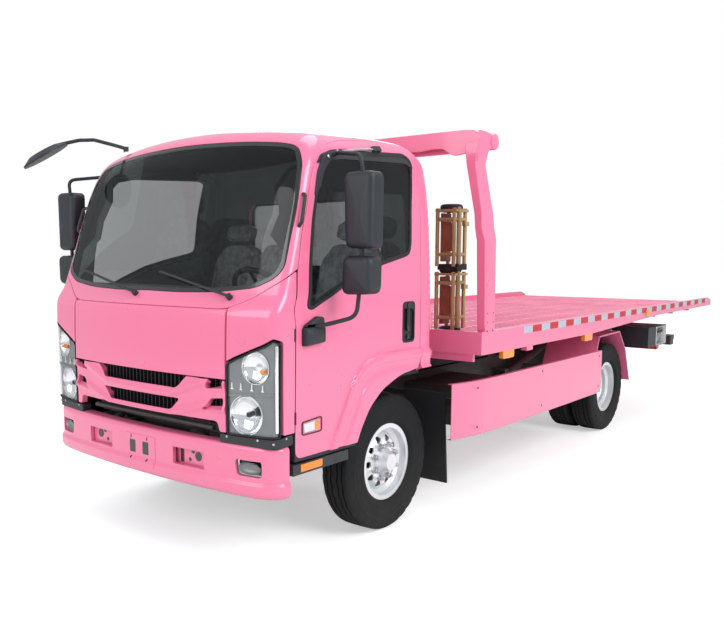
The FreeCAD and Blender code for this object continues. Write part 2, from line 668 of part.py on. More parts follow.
DOOR_OUTLINE = [(-849, 565), (-845, 960), (-839, 1233), (-822, 1485), (-784, 1652),
                (-743, 1756), (-703, 1878), (-663, 1972), (-595, 2046, 60), (-500, 2078),
                (-386, 2094), (60, 2106, 60), (190, 2090, 80), (256, 2000, 60), (256, 1832),
                (246, 1615), (243, 960), (215, 912), (20, 890), (-150, 830), (-265, 745),
                (-340, 640), (-372, 552)]
WINDOW_OUTLINE = [(-753, 1296, 20), (-730, 1545), (-699, 1727), (-664, 1850), (-622, 1945),
                  (-572, 2012, 40), (-447, 2036), (118, 2064), (160, 2060), (184, 2046), (193, 2022),
                  (188, 1950), (167, 1828), (150, 1614), (135, 1558, 30), (93, 1546), (-117, 1509),
                  (-302, 1465), (-476, 1398), (-669, 1317), (-725, 1288, 20)]
ARCH_LIP = [(-600, 500), (-368, 553), (-325, 664), (-255, 760), (-136, 837), (7, 880), (400, 905),
            (400, 400), (-600, 400)]
SCREEN_HALF = [(0, 1374), (520, 1378), (748, 1402, 60), (862, 1454, 60), (906, 1560), (906, 1950),
               (842, 2056, 60), (751, 2086, 30), (511, 2114), (0, 2132)]
SCREEN_SIDE = [(-1200, 1300), (-905, 1300), (-890, 1449), (-876, 1497), (-832, 1627), (-792, 1735),
               (-751, 1857), (-702, 1994), (-672, 2067), (-640, 2150), (-1200, 2150)]


def grown(points, amount):
    """The outline with each of its edges moved outward by an amount."""
    count = len(points)
    twice_area = 0.0
    for i in range(count):
        a = points[i - 1]
        b = points[i]
        twice_area += a[0] * b[1] - b[0] * a[1]
    turn = 1 if twice_area > 0 else -1
    result = []
    for i, p in enumerate(points):
        before = Vector(p[0] - points[i - 1][0], p[1] - points[i - 1][1], 0).normalize()
        after = points[(i + 1) % count]
        ahead = Vector(after[0] - p[0], after[1] - p[1], 0).normalize()
        out = Vector(before.y + ahead.y, -before.x - ahead.x, 0) * turn
        move = out * (amount / (1 + before.dot(ahead)))
        result.append((p[0] + move.x, p[1] + move.y) + tuple(p[2:]))
    return result


def side_prism(points, x0, x1, amount=0.0, radius=0.0):
    """A side view outline, measured from the front axle, drawn across the truck."""
    placed = [(fy(p[0]),) + tuple(p[1:]) for p in grown(points, amount)]
    return prism("x", placed, x0, x1, radius)


def front_prism(points, y0, y1, amount=0.0):
    """A front view outline drawn along the truck."""
    return prism("y", grown(points, amount), y0, y1)


def screen_points():
    left = [(-p[0],) + tuple(p[1:]) for p in reversed(SCREEN_HALF[1:-1])]
    return SCREEN_HALF + left


LAMP_OUTLINE = [(LID_HALF + 4, LAMP_BOTTOM), (CAB_HALF + 20, LAMP_BOTTOM), (CAB_HALF + 20, 1150),
                (905, 1163, 10), (690, 1063), (LID_HALF + 4, 1037, 10)]


def door_hinges():
    """Pins for the left door, the cab's eyes for them, and the room round eyes and pins."""
    y = fy(HINGE_Y)
    pins = []
    eyes = []
    rooms = []
    wells = []
    for low in HINGE_HEIGHTS:
        high = low + HINGE_LENGTH
        eye_low = low + HINGE_LENGTH / 3
        eye_high = high - HINGE_LENGTH / 3
        eye = rod((HINGE_X, y, eye_low), (HINGE_X, y, eye_high), HINGE_EYE)
        ear = box(HINGE_X - 17, HINGE_X, y - 16, y - 3, eye_low, eye_high)
        bore = rod((HINGE_X, y, low), (HINGE_X, y, high), HINGE_PIN + 0.05)
        eyes.append(cut(joined([eye, ear]), [bore]))
        room_end = (HINGE_X, y, eye_high + RUN_GAP)
        room = rod((HINGE_X, y, eye_low - RUN_GAP), room_end, HINGE_EYE + RUN_GAP)
        leaf = cut(box(HINGE_X - 22, HINGE_X - 2, y, y + 16, low, high), [room])
        pins.append(joined([leaf, rod((HINGE_X, y, low), (HINGE_X, y, high), HINGE_PIN)]))
        rooms.append(room)
        well_low = low - RUN_GAP
        well_high = high + RUN_GAP
        wells.append(box(HINGE_X - 28, HINGE_X + 28, y - 8, y + 10, well_low, well_high))
    return pins, eyes, rooms, wells


def cab_pieces():
    outer = cab_form()
    inner = cab_form(CAB_WALL)
    rear_y = fy(CAB_REAR)
    wide = CAB_HALF + 40
    nose = fy(-CAB_NOSE)
    bulkhead = nose + 130
    room = inner.common(box(-wide, wide, bulkhead + 30, rear_y, CAB_FLOOR_TOP, CAB_ROOF + 10))
    footwell = inner.common(box(-wide, wide, bulkhead + 30, fy(-430), 780, CAB_FLOOR_TOP + 1))
    under = box(-660, 660, nose - 30, rear_y + 10, CAB_BOTTOM - 10, 752)
    under_rear = box(-wide, wide, fy(-400), rear_y + 10, CAB_BOTTOM - 10, CAB_FLOOR_TOP - CAB_FLOOR)
    tunnel = box(-330, 330, fy(-620), rear_y + 10, CAB_BOTTOM - 10, 960)
    tunnel_cover = box(-360, 360, fy(-650), rear_y - 20, 760, 990)
    shell = cut(outer, [room, footwell]).fuse(tunnel_cover.common(outer))
    shell = cut(shell, [under, under_rear, tunnel])
    room_half = LID_HALF - 20
    nose_room = box(-room_half, room_half, nose - 30, bulkhead, CAB_BOTTOM - 10, LID_TOP - 20)
    low_front = box(-wide, wide, nose - 60, fy(-876), CAB_BOTTOM - 10, LAMP_BOTTOM - 14)
    gap_half = LID_HALF + 4
    grille_gap = box(-gap_half, gap_half, nose - 30, bulkhead - 20, CAB_BOTTOM, LID_BOTTOM - PANEL_GAP)
    lid_gap = box(-LID_HALF - 6, LID_HALF + 6, nose - 30, bulkhead - 20, LID_BOTTOM - 8, LID_TOP + 6)
    arch = side_prism(ARCH_LIP, 470, wide)
    door_gap = side_prism(DOOR_OUTLINE, CAB_HALF - 240, wide, PANEL_GAP)
    door_ring = door_gap.common(cut(outer, [cab_form(DOOR_THICK + 8)]))
    step_well = side_prism([(-850, 600), (-850, 752), (-430, 752), (-430, 600)], 700, wide)
    lamp = front_prism(LAMP_OUTLINE, nose - 40, fy(-938))
    lamp_room = front_prism(LAMP_OUTLINE, nose - 40, fy(-938) + SEAT_GAP, 4.0)
    ahead = side_prism(SCREEN_SIDE, -wide, wide)
    screen = front_prism(screen_points(), nose - 20, fy(-420)).common(ahead)
    screen_cut = screen.common(cut(outer, [cab_form(CAB_WALL + 6)]))
    window = [(-560, 1480), (560, 1480), (560, 1900), (-560, 1900)]
    rear_window = prism("y", window, rear_y - 200, rear_y + 10, 60)
    cuts = [nose_room, low_front, grille_gap, lid_gap, screen_cut, rear_window]
    pins, eyes, rooms, wells = door_hinges()
    for well in wells:
        cuts += both_sides(well)
    for tool in (arch, door_ring, step_well, lamp_room):
        cuts += both_sides(tool)
    shell = cut(shell, cuts)
    skin = cut(outer, [cab_form(CAB_WALL)])
    arm_x = FRAME_OUTER - FRAME_FLANGE + 30 + RUN_GAP
    pivot_y = fy(CAB_PIVOT_Y)
    reach = PIVOT_EYE_RADIUS * 0.7
    arm_side = [(pivot_y - reach, CAB_PIVOT_Z + reach), (pivot_y + reach, CAB_PIVOT_Z - reach)]
    arm_side += [(bulkhead + 30, 752), (bulkhead + 30, 800), (bulkhead - 8, 800)]
    pivot_arm = prism("x", arm_side, arm_x, arm_x + 30)
    pivot_eye = rod((arm_x, pivot_y, CAB_PIVOT_Z), (arm_x + 30, pivot_y, CAB_PIVOT_Z), PIVOT_EYE_RADIUS)
    pin_start = (FRAME_OUTER - FRAME_FLANGE, pivot_y, CAB_PIVOT_Z)
    pivot_pin = rod(pin_start, (arm_x + 30, pivot_y, CAB_PIVOT_Z), PIVOT_RADIUS)
    arms = [pivot_arm, pivot_eye, pivot_pin]
    lid_seat = rod((500, bulkhead + 10, LID_BOTTOM + 40), (500, nose, LID_BOTTOM + 40), 14)
    arms.append(lid_seat.common(cab_form(PANEL_THICK + SEAT_GAP)))
    grille_seat = rod((200, bulkhead + 10, 862), (200, nose, 862), 14)
    arms.append(grille_seat.common(cab_form(45.0 + SEAT_GAP)))
    arms += eyes
    shell = joined([shell] + arms + [mirrored(a) for a in arms])
    save("cab_shell", shell)

    glass_skin = cut(cab_form(8.0), [cab_form(14.0)])
    ahead = side_prism(SCREEN_SIDE, -wide, wide, -SEAT_GAP)
    pane = front_prism(screen_points(), nose - 20, fy(-420), -SEAT_GAP)
    pane = pane.common(ahead).common(glass_skin)
    back_pane = prism("y", grown(window, -SEAT_GAP), rear_y - 200, rear_y + 10, 60 - SEAT_GAP)
    back_pane = back_pane.common(glass_skin)
    save("cab_glass", [pane, back_pane])

    lid_box = box(-LID_HALF, LID_HALF, nose - 40, fy(-880), LID_BOTTOM, LID_TOP)
    lid = cut(outer, [cab_form(PANEL_THICK)]).common(lid_box)
    save("front_lid", lid)

    lamp_skin = cut(outer, [cab_form(100.0)])
    save("headlamps", both_sides(lamp.common(lamp_skin)))

    grille_top = LID_BOTTOM - PANEL_GAP
    grille_box = box(-LID_HALF, LID_HALF, nose - 40, fy(-880), GRILLE_BOTTOM, grille_top)
    grille = cut(outer, [cab_form(45.0)]).common(grille_box)
    slots = []
    upper = [(-390, 946), (390, 946), (320, 896), (-320, 896)]
    lower = [(-340, 828), (340, 828), (280, 776), (-280, 776)]
    corner = [(470, 880), (625, 950), (625, 880)]
    side = [(470, 800), (625, 800), (625, 730)]
    for points in (upper, lower, corner, side):
        slots.append(prism("y", points, nose - 40, fy(-800), 8))
    slots += [mirrored(slots[2]), mirrored(slots[3])]
    save("grille", cut(grille, slots))

    door_skin = cut(outer, [cab_form(DOOR_THICK)])
    window = side_prism(WINDOW_OUTLINE, CAB_HALF - 240, wide)
    door = cut(side_prism(DOOR_OUTLINE, CAB_HALF - 240, wide).common(door_skin), [window])
    recess = [(44, 1070), (170, 1070), (170, 1258), (44, 1258)]
    handle = side_prism(recess, CAB_HALF - 30, wide, 0, 30)
    door = cut(door, [handle] + rooms)
    door = joined([door] + pins)
    save("door_left", door)
    save("door_right", mirrored(door))
    pane_skin = cut(cab_form(22.0), [cab_form(27.0)])
    door_pane = side_prism(WINDOW_OUTLINE, CAB_HALF - 240, wide, -SEAT_GAP).common(pane_skin)
    save("door_glass_left", door_pane)
    save("door_glass_right", mirrored(door_pane))


def cab_steps():
    tread = box(650, 925, fy(-868), fy(-440), 500, 553)
    hanger = box(660, 700, fy(-860), fy(-450), 553, CAB_BOTTOM)
    save("cab_steps", both_sides(joined([tread, hanger])))


def cowl_point(x, z):
    """A point on the sloping cowl below the windscreen."""
    low = -CAB_NOSE + 6
    share = (z - 1270.0) / (1372.0 - 1270.0)
    bow = 0.068 * CAB_HALF * (x / (CAB_CORNER_SHARE * CAB_HALF)) ** 2
    return Vector(x, fy(low + 65 * share + bow), z)


def wipers():
    pieces = []
    out = Vector(0, -0.76, 0.65)
    clear_of_cab = cab_form(-SEAT_GAP)
    for pivot_x, tip_x in ((620.0, 100.0), (-70.0, -640.0)):
        foot = cowl_point(pivot_x, 1350)
        spindle = cut(rod(tuple(foot - out * 10), tuple(foot + out * 24), 15), [clear_of_cab])
        tip = cowl_point(tip_x, 1400) + Vector(0, -8, 72)
        arm = rod(tuple(foot + out * 18), tuple(tip), 7)
        pieces.append(joined([spindle, arm]))
    save("wipers", pieces)


def seat(x0, x1):
    """A cushion with its backrest, from one side to the other."""
    floor = CAB_FLOOR_TOP + 90
    low = [(fy(-350), floor), (fy(-350), floor + 130), (fy(130), floor + 110), (fy(130), floor)]
    high = [(fy(100), floor + 90), (fy(60), floor + 130), (fy(150), floor + 780)]
    high += [(fy(240), floor + 760), (fy(215), floor + 90)]
    return joined([prism("x", low, x0, x1, 35), prism("x", high, x0, x1, 35)])


def seats():
    save("seats", [seat(290, 730), seat(-740, 230)])


def steering_place():
    """The middle of the steering wheel and the way its column points."""
    return Vector(STEERING_X, fy(-566), 1326), Vector(0, 140, 120).normalize()


def dashboard():
    nose = fy(-CAB_NOSE)
    front = nose + 160 + SEAT_GAP
    section = [(front, 1050), (front, 1370), (nose + 240, 1395)]
    section += [(nose + 420, 1330), (nose + 440, 1200), (nose + 330, 1050)]
    body = prism("x", section, -DASH_HALF, DASH_HALF, 30).common(cab_form(CAB_WALL + 30))
    centre, axis = steering_place()
    column = rod(tuple(centre - axis * 190), tuple(centre - axis * (26 + SEAT_GAP)), 35)
    save("dashboard", joined([body, column]))


def steering_wheel():
    centre, axis = steering_place()
    ring = Part.makeTorus(205, 15, centre, axis)
    ring.rotate(centre, axis, 45)
    hub = Part.makeCylinder(45, 30, centre - axis * 26, axis)
    across = axis.cross(Vector(1, 0, 0)).normalize()
    inward = axis * -8
    spokes = []
    for way in (Vector(1, 0, 0), Vector(-1, 0, 0), across * -1):
        spokes.append(rod(tuple(centre + way * 20 + inward), tuple(centre + way * 203), 9))
    save("steering_wheel", joined([ring, hub] + spokes))


def mirrors():
    """The door mirrors, each with two heads on one tube arm."""
    near = MIRROR_OUT - MIRROR_THICK / 2
    far = MIRROR_OUT + MIRROR_THICK / 2
    head_y = fy(-620)
    low_y = fy(-670)
    upper = side_prism([(-780, 1585), (-460, 1585), (-460, 1950), (-780, 1950)], near, far, 0, 45)
    lower = side_prism([(-810, 1365), (-470, 1365), (-470, 1555), (-810, 1555)], near, far, 0, 40)
    stalk = rod((MIRROR_OUT, head_y, 1550), (MIRROR_OUT, head_y, 1590), 12)
    top_arm = rod((MIRROR_OUT, head_y, 1945), (MIRROR_OUT, head_y, MIRROR_TOP), ARM_RADIUS)
    top_cross = rod((CAB_HALF - 70, fy(-560), MIRROR_TOP), (MIRROR_OUT, head_y, MIRROR_TOP), ARM_RADIUS)
    top_cross = cut(top_cross, [cab_form(-SEAT_GAP)])
    low_arm = rod((MIRROR_OUT, low_y, 1290), (MIRROR_OUT, low_y, 1370), ARM_RADIUS)
    low_cross = rod((CAB_HALF + 25, fy(-720), 1190), (MIRROR_OUT, low_y, 1290), ARM_RADIUS)
    pad = [(-800, 1120), (-640, 1120), (-640, 1260), (-800, 1260)]
    foot = side_prism(pad, CAB_HALF, CAB_HALF + 35, 0, 20)
    left = joined([upper, lower, stalk, top_arm, top_cross, low_arm, low_cross, foot])
    save("mirrors_left", left)
    save("mirrors_right", mirrored(left))


def corner_mirror():
    """The round mirror that looks down in front of the cab's right corner."""
    centre = Vector(-1040, fy(-930), 2160)
    glass_way = Vector(0.25, 0.44, -0.85).normalize()
    disc = Part.makeCylinder(148, 12, centre, glass_way)
    back = Part.makeCone(146, 96, 26, centre, glass_way * -1)
    foot = rod((-720, fy(-570), 2080), (-720, fy(-570), 2218), 16)
    pieces = [disc, back, cut(foot, [cab_form(-SEAT_GAP)])]
    bends = [(-720, -570, 2208), (-800, -610, 2234), (-880, -690, 2262)]
    bends += [(-940, -757, 2258), (-980, -815, 2240), (-1018, -858, 2225)]
    points = [(x, fy(y), z) for x, y, z in bends]
    for start, end in zip(points, points[1:]):
        pieces.append(rod(start, end, ARM_RADIUS))
    save("corner_mirror", joined(pieces))


# Bed

def bed_deck():
    front = fy(BED_FRONT)
    tail = fy(BED_TAIL)
    inside = BED_HALF - RAIL_WIDTH
    plate = box(-inside, inside, front + 30, tail - 60, DECK_TOP - DECK_PLATE, DECK_TOP)
    under = DECK_TOP - DECK_PLATE
    sill = channel_rail(SILL_OUTER, SILL_WIDTH, front + 30, tail - 120, SILL_BOTTOM, under, DECK_PLATE)
    ribs = []
    count = int((BED_TAIL - BED_FRONT - 300) // (2 * BED_RIB_PITCH))
    for i in range(count + 1):
        y = front + 60 + 2 * BED_RIB_PITCH * i
        ribs.append(box(-inside, inside, y, y + 40, RAIL_BOTTOM + 30, DECK_TOP - DECK_PLATE))
    save("bed_deck", joined([plate] + both_sides(sill) + ribs))


def bed_rails():
    front = fy(BED_FRONT)
    tail = fy(BED_TAIL)
    side = [(front, RAIL_BOTTOM), (fy(2400), RAIL_BOTTOM), (fy(4000), RAIL_BOTTOM + 50)]
    side.append((tail, RAIL_BOTTOM + 55, 20))
    side += [(tail, RAIL_TOP - 30, 25), (tail - 120, RAIL_TOP), (front, RAIL_TOP)]
    rail = prism("x", side, BED_HALF - RAIL_WIDTH, BED_HALF)
    board = box(-BED_HALF, BED_HALF, front, front + 30, RAIL_BOTTOM, RAIL_TOP)
    lip = box(-BED_HALF + 60, BED_HALF - 60, front + 6, front + 30, RAIL_BOTTOM - 45, RAIL_BOTTOM)
    end = box(-BED_HALF + RAIL_WIDTH, BED_HALF - RAIL_WIDTH, tail - 60, tail - 10, RAIL_BOTTOM + 60, DECK_TOP)
    save("bed_rails", joined([rail, mirrored(rail), board, lip, end]))


def marker_lamps():
    """Amber lamps under the bed's side rails."""
    lamps = []
    for y in (910.0, 2240.0):
        front = fy(y)
        rear = front + MARKER_LENGTH
        top = RAIL_BOTTOM - SEAT_GAP
        side = [(front, top), (front, top - 50, 14), (rear, top - 50, 14), (rear, top)]
        lamps += both_sides(prism("x", side, BED_HALF - 30, BED_HALF - 2))
    save("marker_lamps", lamps)


POST_SIDE = [(598, 1095), (586, 1642), (521, 1756), (456, 1923), (413, 2137), (420, 2200),
             (690, 2200), (674, 2105), (764, 1806), (785, 1656), (815, 1095)]


def bed_gantry():
    post = side_prism(POST_SIDE, BED_HALF - POST_WIDTH, BED_HALF)
    foot = box(BED_HALF - POST_WIDTH, BED_HALF - RAIL_WIDTH, fy(BED_FRONT) + 30, fy(810), DECK_TOP, RAIL_TOP)
    fascia = [(-BED_HALF, 2200), (-BED_HALF + 60, GANTRY_TOP), (BED_HALF - 60, GANTRY_TOP), (BED_HALF, 2200)]
    scallop = [(975, 2163), (905, 2145), (835, 2192), (656, 2189)]
    fascia += scallop + [(-x, z) for x, z in reversed(scallop)]
    front = prism("y", fascia, fy(413), fy(433))
    top = box(-BED_HALF + 60, BED_HALF - 60, fy(413), fy(700), GANTRY_TOP - 8, GANTRY_TOP)
    tube = rod((-BED_HALF, fy(695), 2236), (BED_HALF, fy(695), 2236), 60)
    save("bed_gantry", joined([post, mirrored(post), foot, mirrored(foot), front, top, tube]))


def winch():
    y = fy(BED_FRONT) + 190
    base = box(-260, 260, y - 110, y + 110, DECK_TOP, DECK_TOP + 16)
    drum = rod((-150, y, DECK_TOP + 110), (150, y, DECK_TOP + 110), 62)
    end = rod((150, y, DECK_TOP + 110), (240, y, DECK_TOP + 110), 92)
    motor = rod((-240, y, DECK_TOP + 110), (-150, y, DECK_TOP + 110), 80)
    foot = box(150, 180, y - 90, y + 90, DECK_TOP, DECK_TOP + 110)
    save("winch", joined([base, drum, end, motor, foot, mirrored(foot)]))


def dollies():
    """Two wheeled carriers stacked on the deck behind the gantry's post."""
    frames = []
    wheels = []
    near = DOLLY_OUTER
    far = DOLLY_OUTER - DOLLY_WIDE
    y0 = fy(760)
    y1 = y0 + 190
    for z0 in (DECK_TOP, DECK_TOP + 418 + SEAT_GAP):
        for y in (y0, y1):
            for x in (far, near):
                frames.append(rod((x, y, z0 + 50), (x, y, z0 + 370), 14))
        for z in (z0 + 110, z0 + 310):
            frames.append(rod((far, y0, z), (near, y0, z), 12))
            frames.append(rod((far, y1, z), (near, y1, z), 12))
            frames.append(rod((far, y0, z), (far, y1, z), 12))
            frames.append(rod((near, y0, z), (near, y1, z), 12))
        wheels.append(rod((far - 60, y0 + 95, z0 + 30), (near + 20, y0 + 95, z0 + 30), 30))
        wheels.append(rod((far - 60, y0 + 95, z0 + 390), (near + 20, y0 + 95, z0 + 390), 28))
        frames.append(box(far - 15, near + 15, y0 - 14, y1 + 14, z0 + 60, z0 + 90))
        frames.append(box(far - 15, near + 15, y0 - 14, y1 + 14, z0 + 335, z0 + 362))
    save("dolly_frames", joined(frames))
    save("dolly_wheels", wheels)


# Tilting frame, cylinders and underlift

def tilt_frame():
    front = fy(TILT_FRONT)
    tail = fy(TILT_TAIL)
    beam = channel_rail(SILL_OUTER, SILL_WIDTH, front, tail, TILT_BOTTOM, TILT_TOP, 8.0)
    members = []
    for y in (TILT_FRONT + 60, 1700.0, 2700.0, 3700.0, TILT_TAIL - 120):
        half = SILL_OUTER - DECK_PLATE
        members.append(box(-half, half, fy(y), fy(y) + 50, TILT_BOTTOM + 20, TILT_TOP - 25))
    pads = []
    for y in (900.0, 2100.0):
        pads.append(box(FRAME_OUTER - 50, FRAME_OUTER, fy(y), fy(y) + 120, FRAME_TOP + SEAT_GAP, TILT_BOTTOM))
    eye_y = fy(CYLINDER_EYE_Y)
    low = CYLINDER_EYE_Z - 45
    high = CYLINDER_EYE_Z + 45
    plate = [(eye_y - 45, low), (eye_y + 45, low), (eye_y + 45, high), (eye_y - 45, high)]
    lug = prism("x", plate, SILL_OUTER, SILL_OUTER + 15, 20)
    pin_start = (SILL_OUTER + 10, eye_y, CYLINDER_EYE_Z)
    pin = rod(pin_start, (CYLINDER_X + 24, eye_y, CYLINDER_EYE_Z), EYE_PIN_RADIUS)
    low = TILT_BOTTOM + 20
    guide = box(SILL_OUTER + SEAT_GAP, SILL_OUTER + 16, fy(1500), fy(1620), low, SILL_BOTTOM + 10)
    link = box(SILL_OUTER - 4, SILL_OUTER + 16, fy(1500), fy(1620), low, TILT_TOP - 10)
    pivot_y = fy(TILT_PIVOT_Y)
    pivot_start = (FRAME_OUTER - 90, pivot_y, TILT_PIVOT_Z)
    pivot = rod(pivot_start, (FRAME_OUTER + 60, pivot_y, TILT_PIVOT_Z), HINGE_PIN_RADIUS)
    side = pads + [lug, pin, guide, link, pivot]
    save("tilt_frame", joined([beam, mirrored(beam)] + members + side + [mirrored(s) for s in side]))


def tilt_hinge_blocks():
    """The ears on the chassis tail that hold the bed's hinge pins."""
    y = fy(TILT_PIVOT_Y)
    plate = [(y - 45, FRAME_TOP - 120), (y + 45, FRAME_TOP - 120)]
    plate += [(y + 38, TILT_PIVOT_Z + 38), (y - 38, TILT_PIVOT_Z + 38)]
    ear = prism("x", plate, FRAME_OUTER + 26, FRAME_OUTER + 46, 20)
    foot = box(FRAME_OUTER, FRAME_OUTER + 46, y - 45, y + 45, FRAME_TOP - 120, FRAME_TOP - 40)
    hole = rod((FRAME_OUTER, y, TILT_PIVOT_Z), (FRAME_OUTER + 80, y, TILT_PIVOT_Z), HINGE_PIN_RADIUS + 0.05)
    left = cut(joined([ear, foot]), [hole])
    base_y = fy(CYLINDER_BASE_Y)
    cheek_x = CYLINDER_X + BARREL_RADIUS + RUN_GAP
    base_top = CYLINDER_BASE_Z + 80
    lug = box(FRAME_OUTER, cheek_x + 12, base_y - 30, base_y + 30, base_top - 18, base_top)
    cheek = box(cheek_x, cheek_x + 12, base_y - 30, base_y + 30, CYLINDER_BASE_Z - 30, base_top)
    pin = rod((FRAME_OUTER, base_y, CYLINDER_BASE_Z), (cheek_x + 12, base_y, CYLINDER_BASE_Z), EYE_PIN_RADIUS)
    bracket = joined([lug, cheek, pin])
    save("bed_hinge_blocks", [left, mirrored(left), bracket, mirrored(bracket)])


def tilt_cylinders():
    base = Vector(CYLINDER_X, fy(CYLINDER_BASE_Y), CYLINDER_BASE_Z)
    eye = Vector(CYLINDER_X, fy(CYLINDER_EYE_Y), CYLINDER_EYE_Z)
    along = (eye - base).normalize()
    length = (eye - base).Length
    barrel = rod(tuple(base + along * 20), tuple(base + along * (length - 190)), BARREL_RADIUS)
    bore = rod(tuple(base + along * 60), tuple(base + along * length), ROD_RADIUS + 0.3)
    knob = rod((CYLINDER_X - 30, base.y, base.z), (CYLINDER_X + 30, base.y, base.z), 30)
    hole = rod((CYLINDER_X - 60, base.y, base.z), (CYLINDER_X + 60, base.y, base.z), EYE_PIN_RADIUS + 0.05)
    left = cut(joined([barrel, knob]), [bore, hole])
    save("tilt_barrels", both_sides(left))
    shaft = rod(tuple(base + along * 80), tuple(base + along * (length - 30)), ROD_RADIUS)
    eye_radius = EYE_PIN_RADIUS + EYE_DRIFT
    loop = rod((CYLINDER_X - 20, eye.y, eye.z), (CYLINDER_X + 20, eye.y, eye.z), eye_radius + 14)
    eye_hole = rod((CYLINDER_X - 60, eye.y, eye.z), (CYLINDER_X + 60, eye.y, eye.z), eye_radius)
    piston = cut(joined([shaft, loop]), [eye_hole])
    save("tilt_rods", both_sides(piston))


def underlift():
    y0 = fy(LIFT_PIVOT_Y)
    z0 = LIFT_PIVOT_Z
    half = LIFT_BOOM_HALF
    tube = box(-half, half, y0, fy(LIFT_BOOM_END), z0 - half, z0 + half)
    bore = box(-half + 12, half - 12, y0 + 60, fy(LIFT_BOOM_END) + 1, z0 - half + 12, z0 + half - 12)
    pin = rod((-half - 40, y0, z0), (half + 40, y0, z0), 24)
    save("underlift_boom", joined([cut(tube, [bore]), pin]))
    inner_half = half - 12 - SEAT_GAP
    head_y = fy(LIFT_BOOM_END) + 60
    inner = box(-inner_half, inner_half, y0 + 80, head_y, z0 - inner_half, z0 + inner_half)
    head = box(-inner_half, inner_half, head_y, head_y + 70, z0 - inner_half, LIFT_BAR_Z + 50)
    bar = box(-CROSSBAR_HALF, CROSSBAR_HALF, head_y + 70, head_y + 170, LIFT_BAR_Z - 50, LIFT_BAR_Z + 50)
    claw_in = CROSSBAR_HALF - 120
    claw = box(claw_in, claw_in + 80, head_y + 120, head_y + 330, LIFT_BAR_Z - 10, LIFT_BAR_Z + 40)
    save("underlift_slide", joined([inner, head, bar, claw, mirrored(claw)]))
    ear_x = half + 12
    low = (FRAME_TOP - FRAME_HEIGHT / 2) - CROSSMEMBER_DEPTH / 2
    plate = [(y0 - 45, z0 - 45), (y0 + 45, z0 - 45), (y0 + 29, low), (y0 - 29, low)]
    ear = prism("x", plate, ear_x, ear_x + 24)
    hole = rod((ear_x - 5, y0, z0), (ear_x + 40, y0, z0), 24.05)
    save("underlift_mounts", both_sides(cut(ear, [hole])))


def main():
    os.makedirs("parts", exist_ok=True)
    front_wheels()
    rear_wheels()
    chassis_frame()
    front_axle()
    rear_axle()
    knuckles()
    engine_and_driveline()
    tanks_and_exhaust()
    cab_mounts()
    front_bumper()
    side_skirts()
    mudguards()
    control_box()
    tail_lamps()
    cab_pieces()
    cab_steps()
    wipers()
    seats()
    dashboard()
    steering_wheel()
    mirrors()
    corner_mirror()
    bed_deck()
    bed_rails()
    marker_lamps()
    bed_gantry()
    winch()
    dollies()
    tilt_frame()
    tilt_hinge_blocks()
    tilt_cylinders()
    underlift()


main()
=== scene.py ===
# %% [markdown]
# A flatbed tow truck: a smooth pink cab, a long tilting bed and a gantry between them. Drawn all anew, looks
# and moving parts would drift apart, so the frame's solids get their finish here, and only where a plain
# solid falls short does a finer shape take its place.

# %% The frame and the size of the truck
import bpy
import bmesh
import math
import numpy as np
from mathutils import Vector, Matrix, noise
from mathutils.geometry import delaunay_2d_cdt


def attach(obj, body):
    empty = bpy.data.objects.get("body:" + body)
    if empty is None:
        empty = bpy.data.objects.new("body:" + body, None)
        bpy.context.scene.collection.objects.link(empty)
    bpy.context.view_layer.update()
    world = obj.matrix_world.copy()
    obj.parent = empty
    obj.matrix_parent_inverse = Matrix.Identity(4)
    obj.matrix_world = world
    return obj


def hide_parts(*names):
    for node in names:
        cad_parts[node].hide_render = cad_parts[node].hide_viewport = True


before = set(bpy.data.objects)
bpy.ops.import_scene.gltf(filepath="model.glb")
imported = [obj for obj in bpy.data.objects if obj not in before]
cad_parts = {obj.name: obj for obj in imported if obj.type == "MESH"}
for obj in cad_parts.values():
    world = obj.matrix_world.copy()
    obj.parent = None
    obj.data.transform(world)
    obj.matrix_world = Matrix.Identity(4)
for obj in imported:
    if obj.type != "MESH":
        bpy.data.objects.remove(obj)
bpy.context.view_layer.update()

WHEELBASE = 3.36
FRONT_OVERHANG = 1.08
BED_TAIL = 5.8
FRONT_AXLE_Y = (FRONT_OVERHANG - BED_TAIL) / 2
REAR_AXLE_Y = FRONT_AXLE_Y + WHEELBASE
SIDES = ((1, "left"), (-1, "right"))


def fy(y):
    """A place in the row, measured back from the front axle."""
    return FRONT_AXLE_Y + y


print("axles at", round(FRONT_AXLE_Y, 3), "and", round(REAR_AXLE_Y, 3))

# %% [markdown]
# The picture was taken from ahead and to one side, at a grown person's height. Its middle is not the truck's,
# so the frame is shifted instead of turned, which keeps upright edges as they are.

# %% Camera
CAMERA_PLACE = (3.385, -5.96, 1.559)
CAMERA_AZIMUTH = 40.08
CAMERA_ELEVATION = 6.7
PICTURE_WIDTH = 724
FOCAL_PIXELS = 786.5
SENSOR_WIDTH = 36
FRAME_SHIFT = (0.0594, 0.0435)
FAR_END = 200
scene = bpy.context.scene


def aimed(name, data, place, ahead):
    """A camera or a lamp at a place, looking ahead along a line."""
    made = bpy.data.objects.new(name, data)
    scene.collection.objects.link(made)
    made.location = place
    made.rotation_mode = "QUATERNION"
    made.rotation_quaternion = ahead.to_track_quat("-Z", "Y")
    return made


turn = math.radians(CAMERA_AZIMUTH)
rise = math.radians(CAMERA_ELEVATION)
backward = Vector((math.sin(turn) * math.cos(rise), -math.cos(turn) * math.cos(rise), math.sin(rise)))
camera_data = bpy.data.cameras.new("camera")
camera_data.sensor_width = SENSOR_WIDTH
camera_data.lens = FOCAL_PIXELS * SENSOR_WIDTH / PICTURE_WIDTH
camera_data.shift_x, camera_data.shift_y = FRAME_SHIFT
camera_data.clip_end = FAR_END
bpy.context.scene.camera = aimed("camera", camera_data, CAMERA_PLACE, -backward)
print("lens", round(camera_data.lens, 2), "mm")

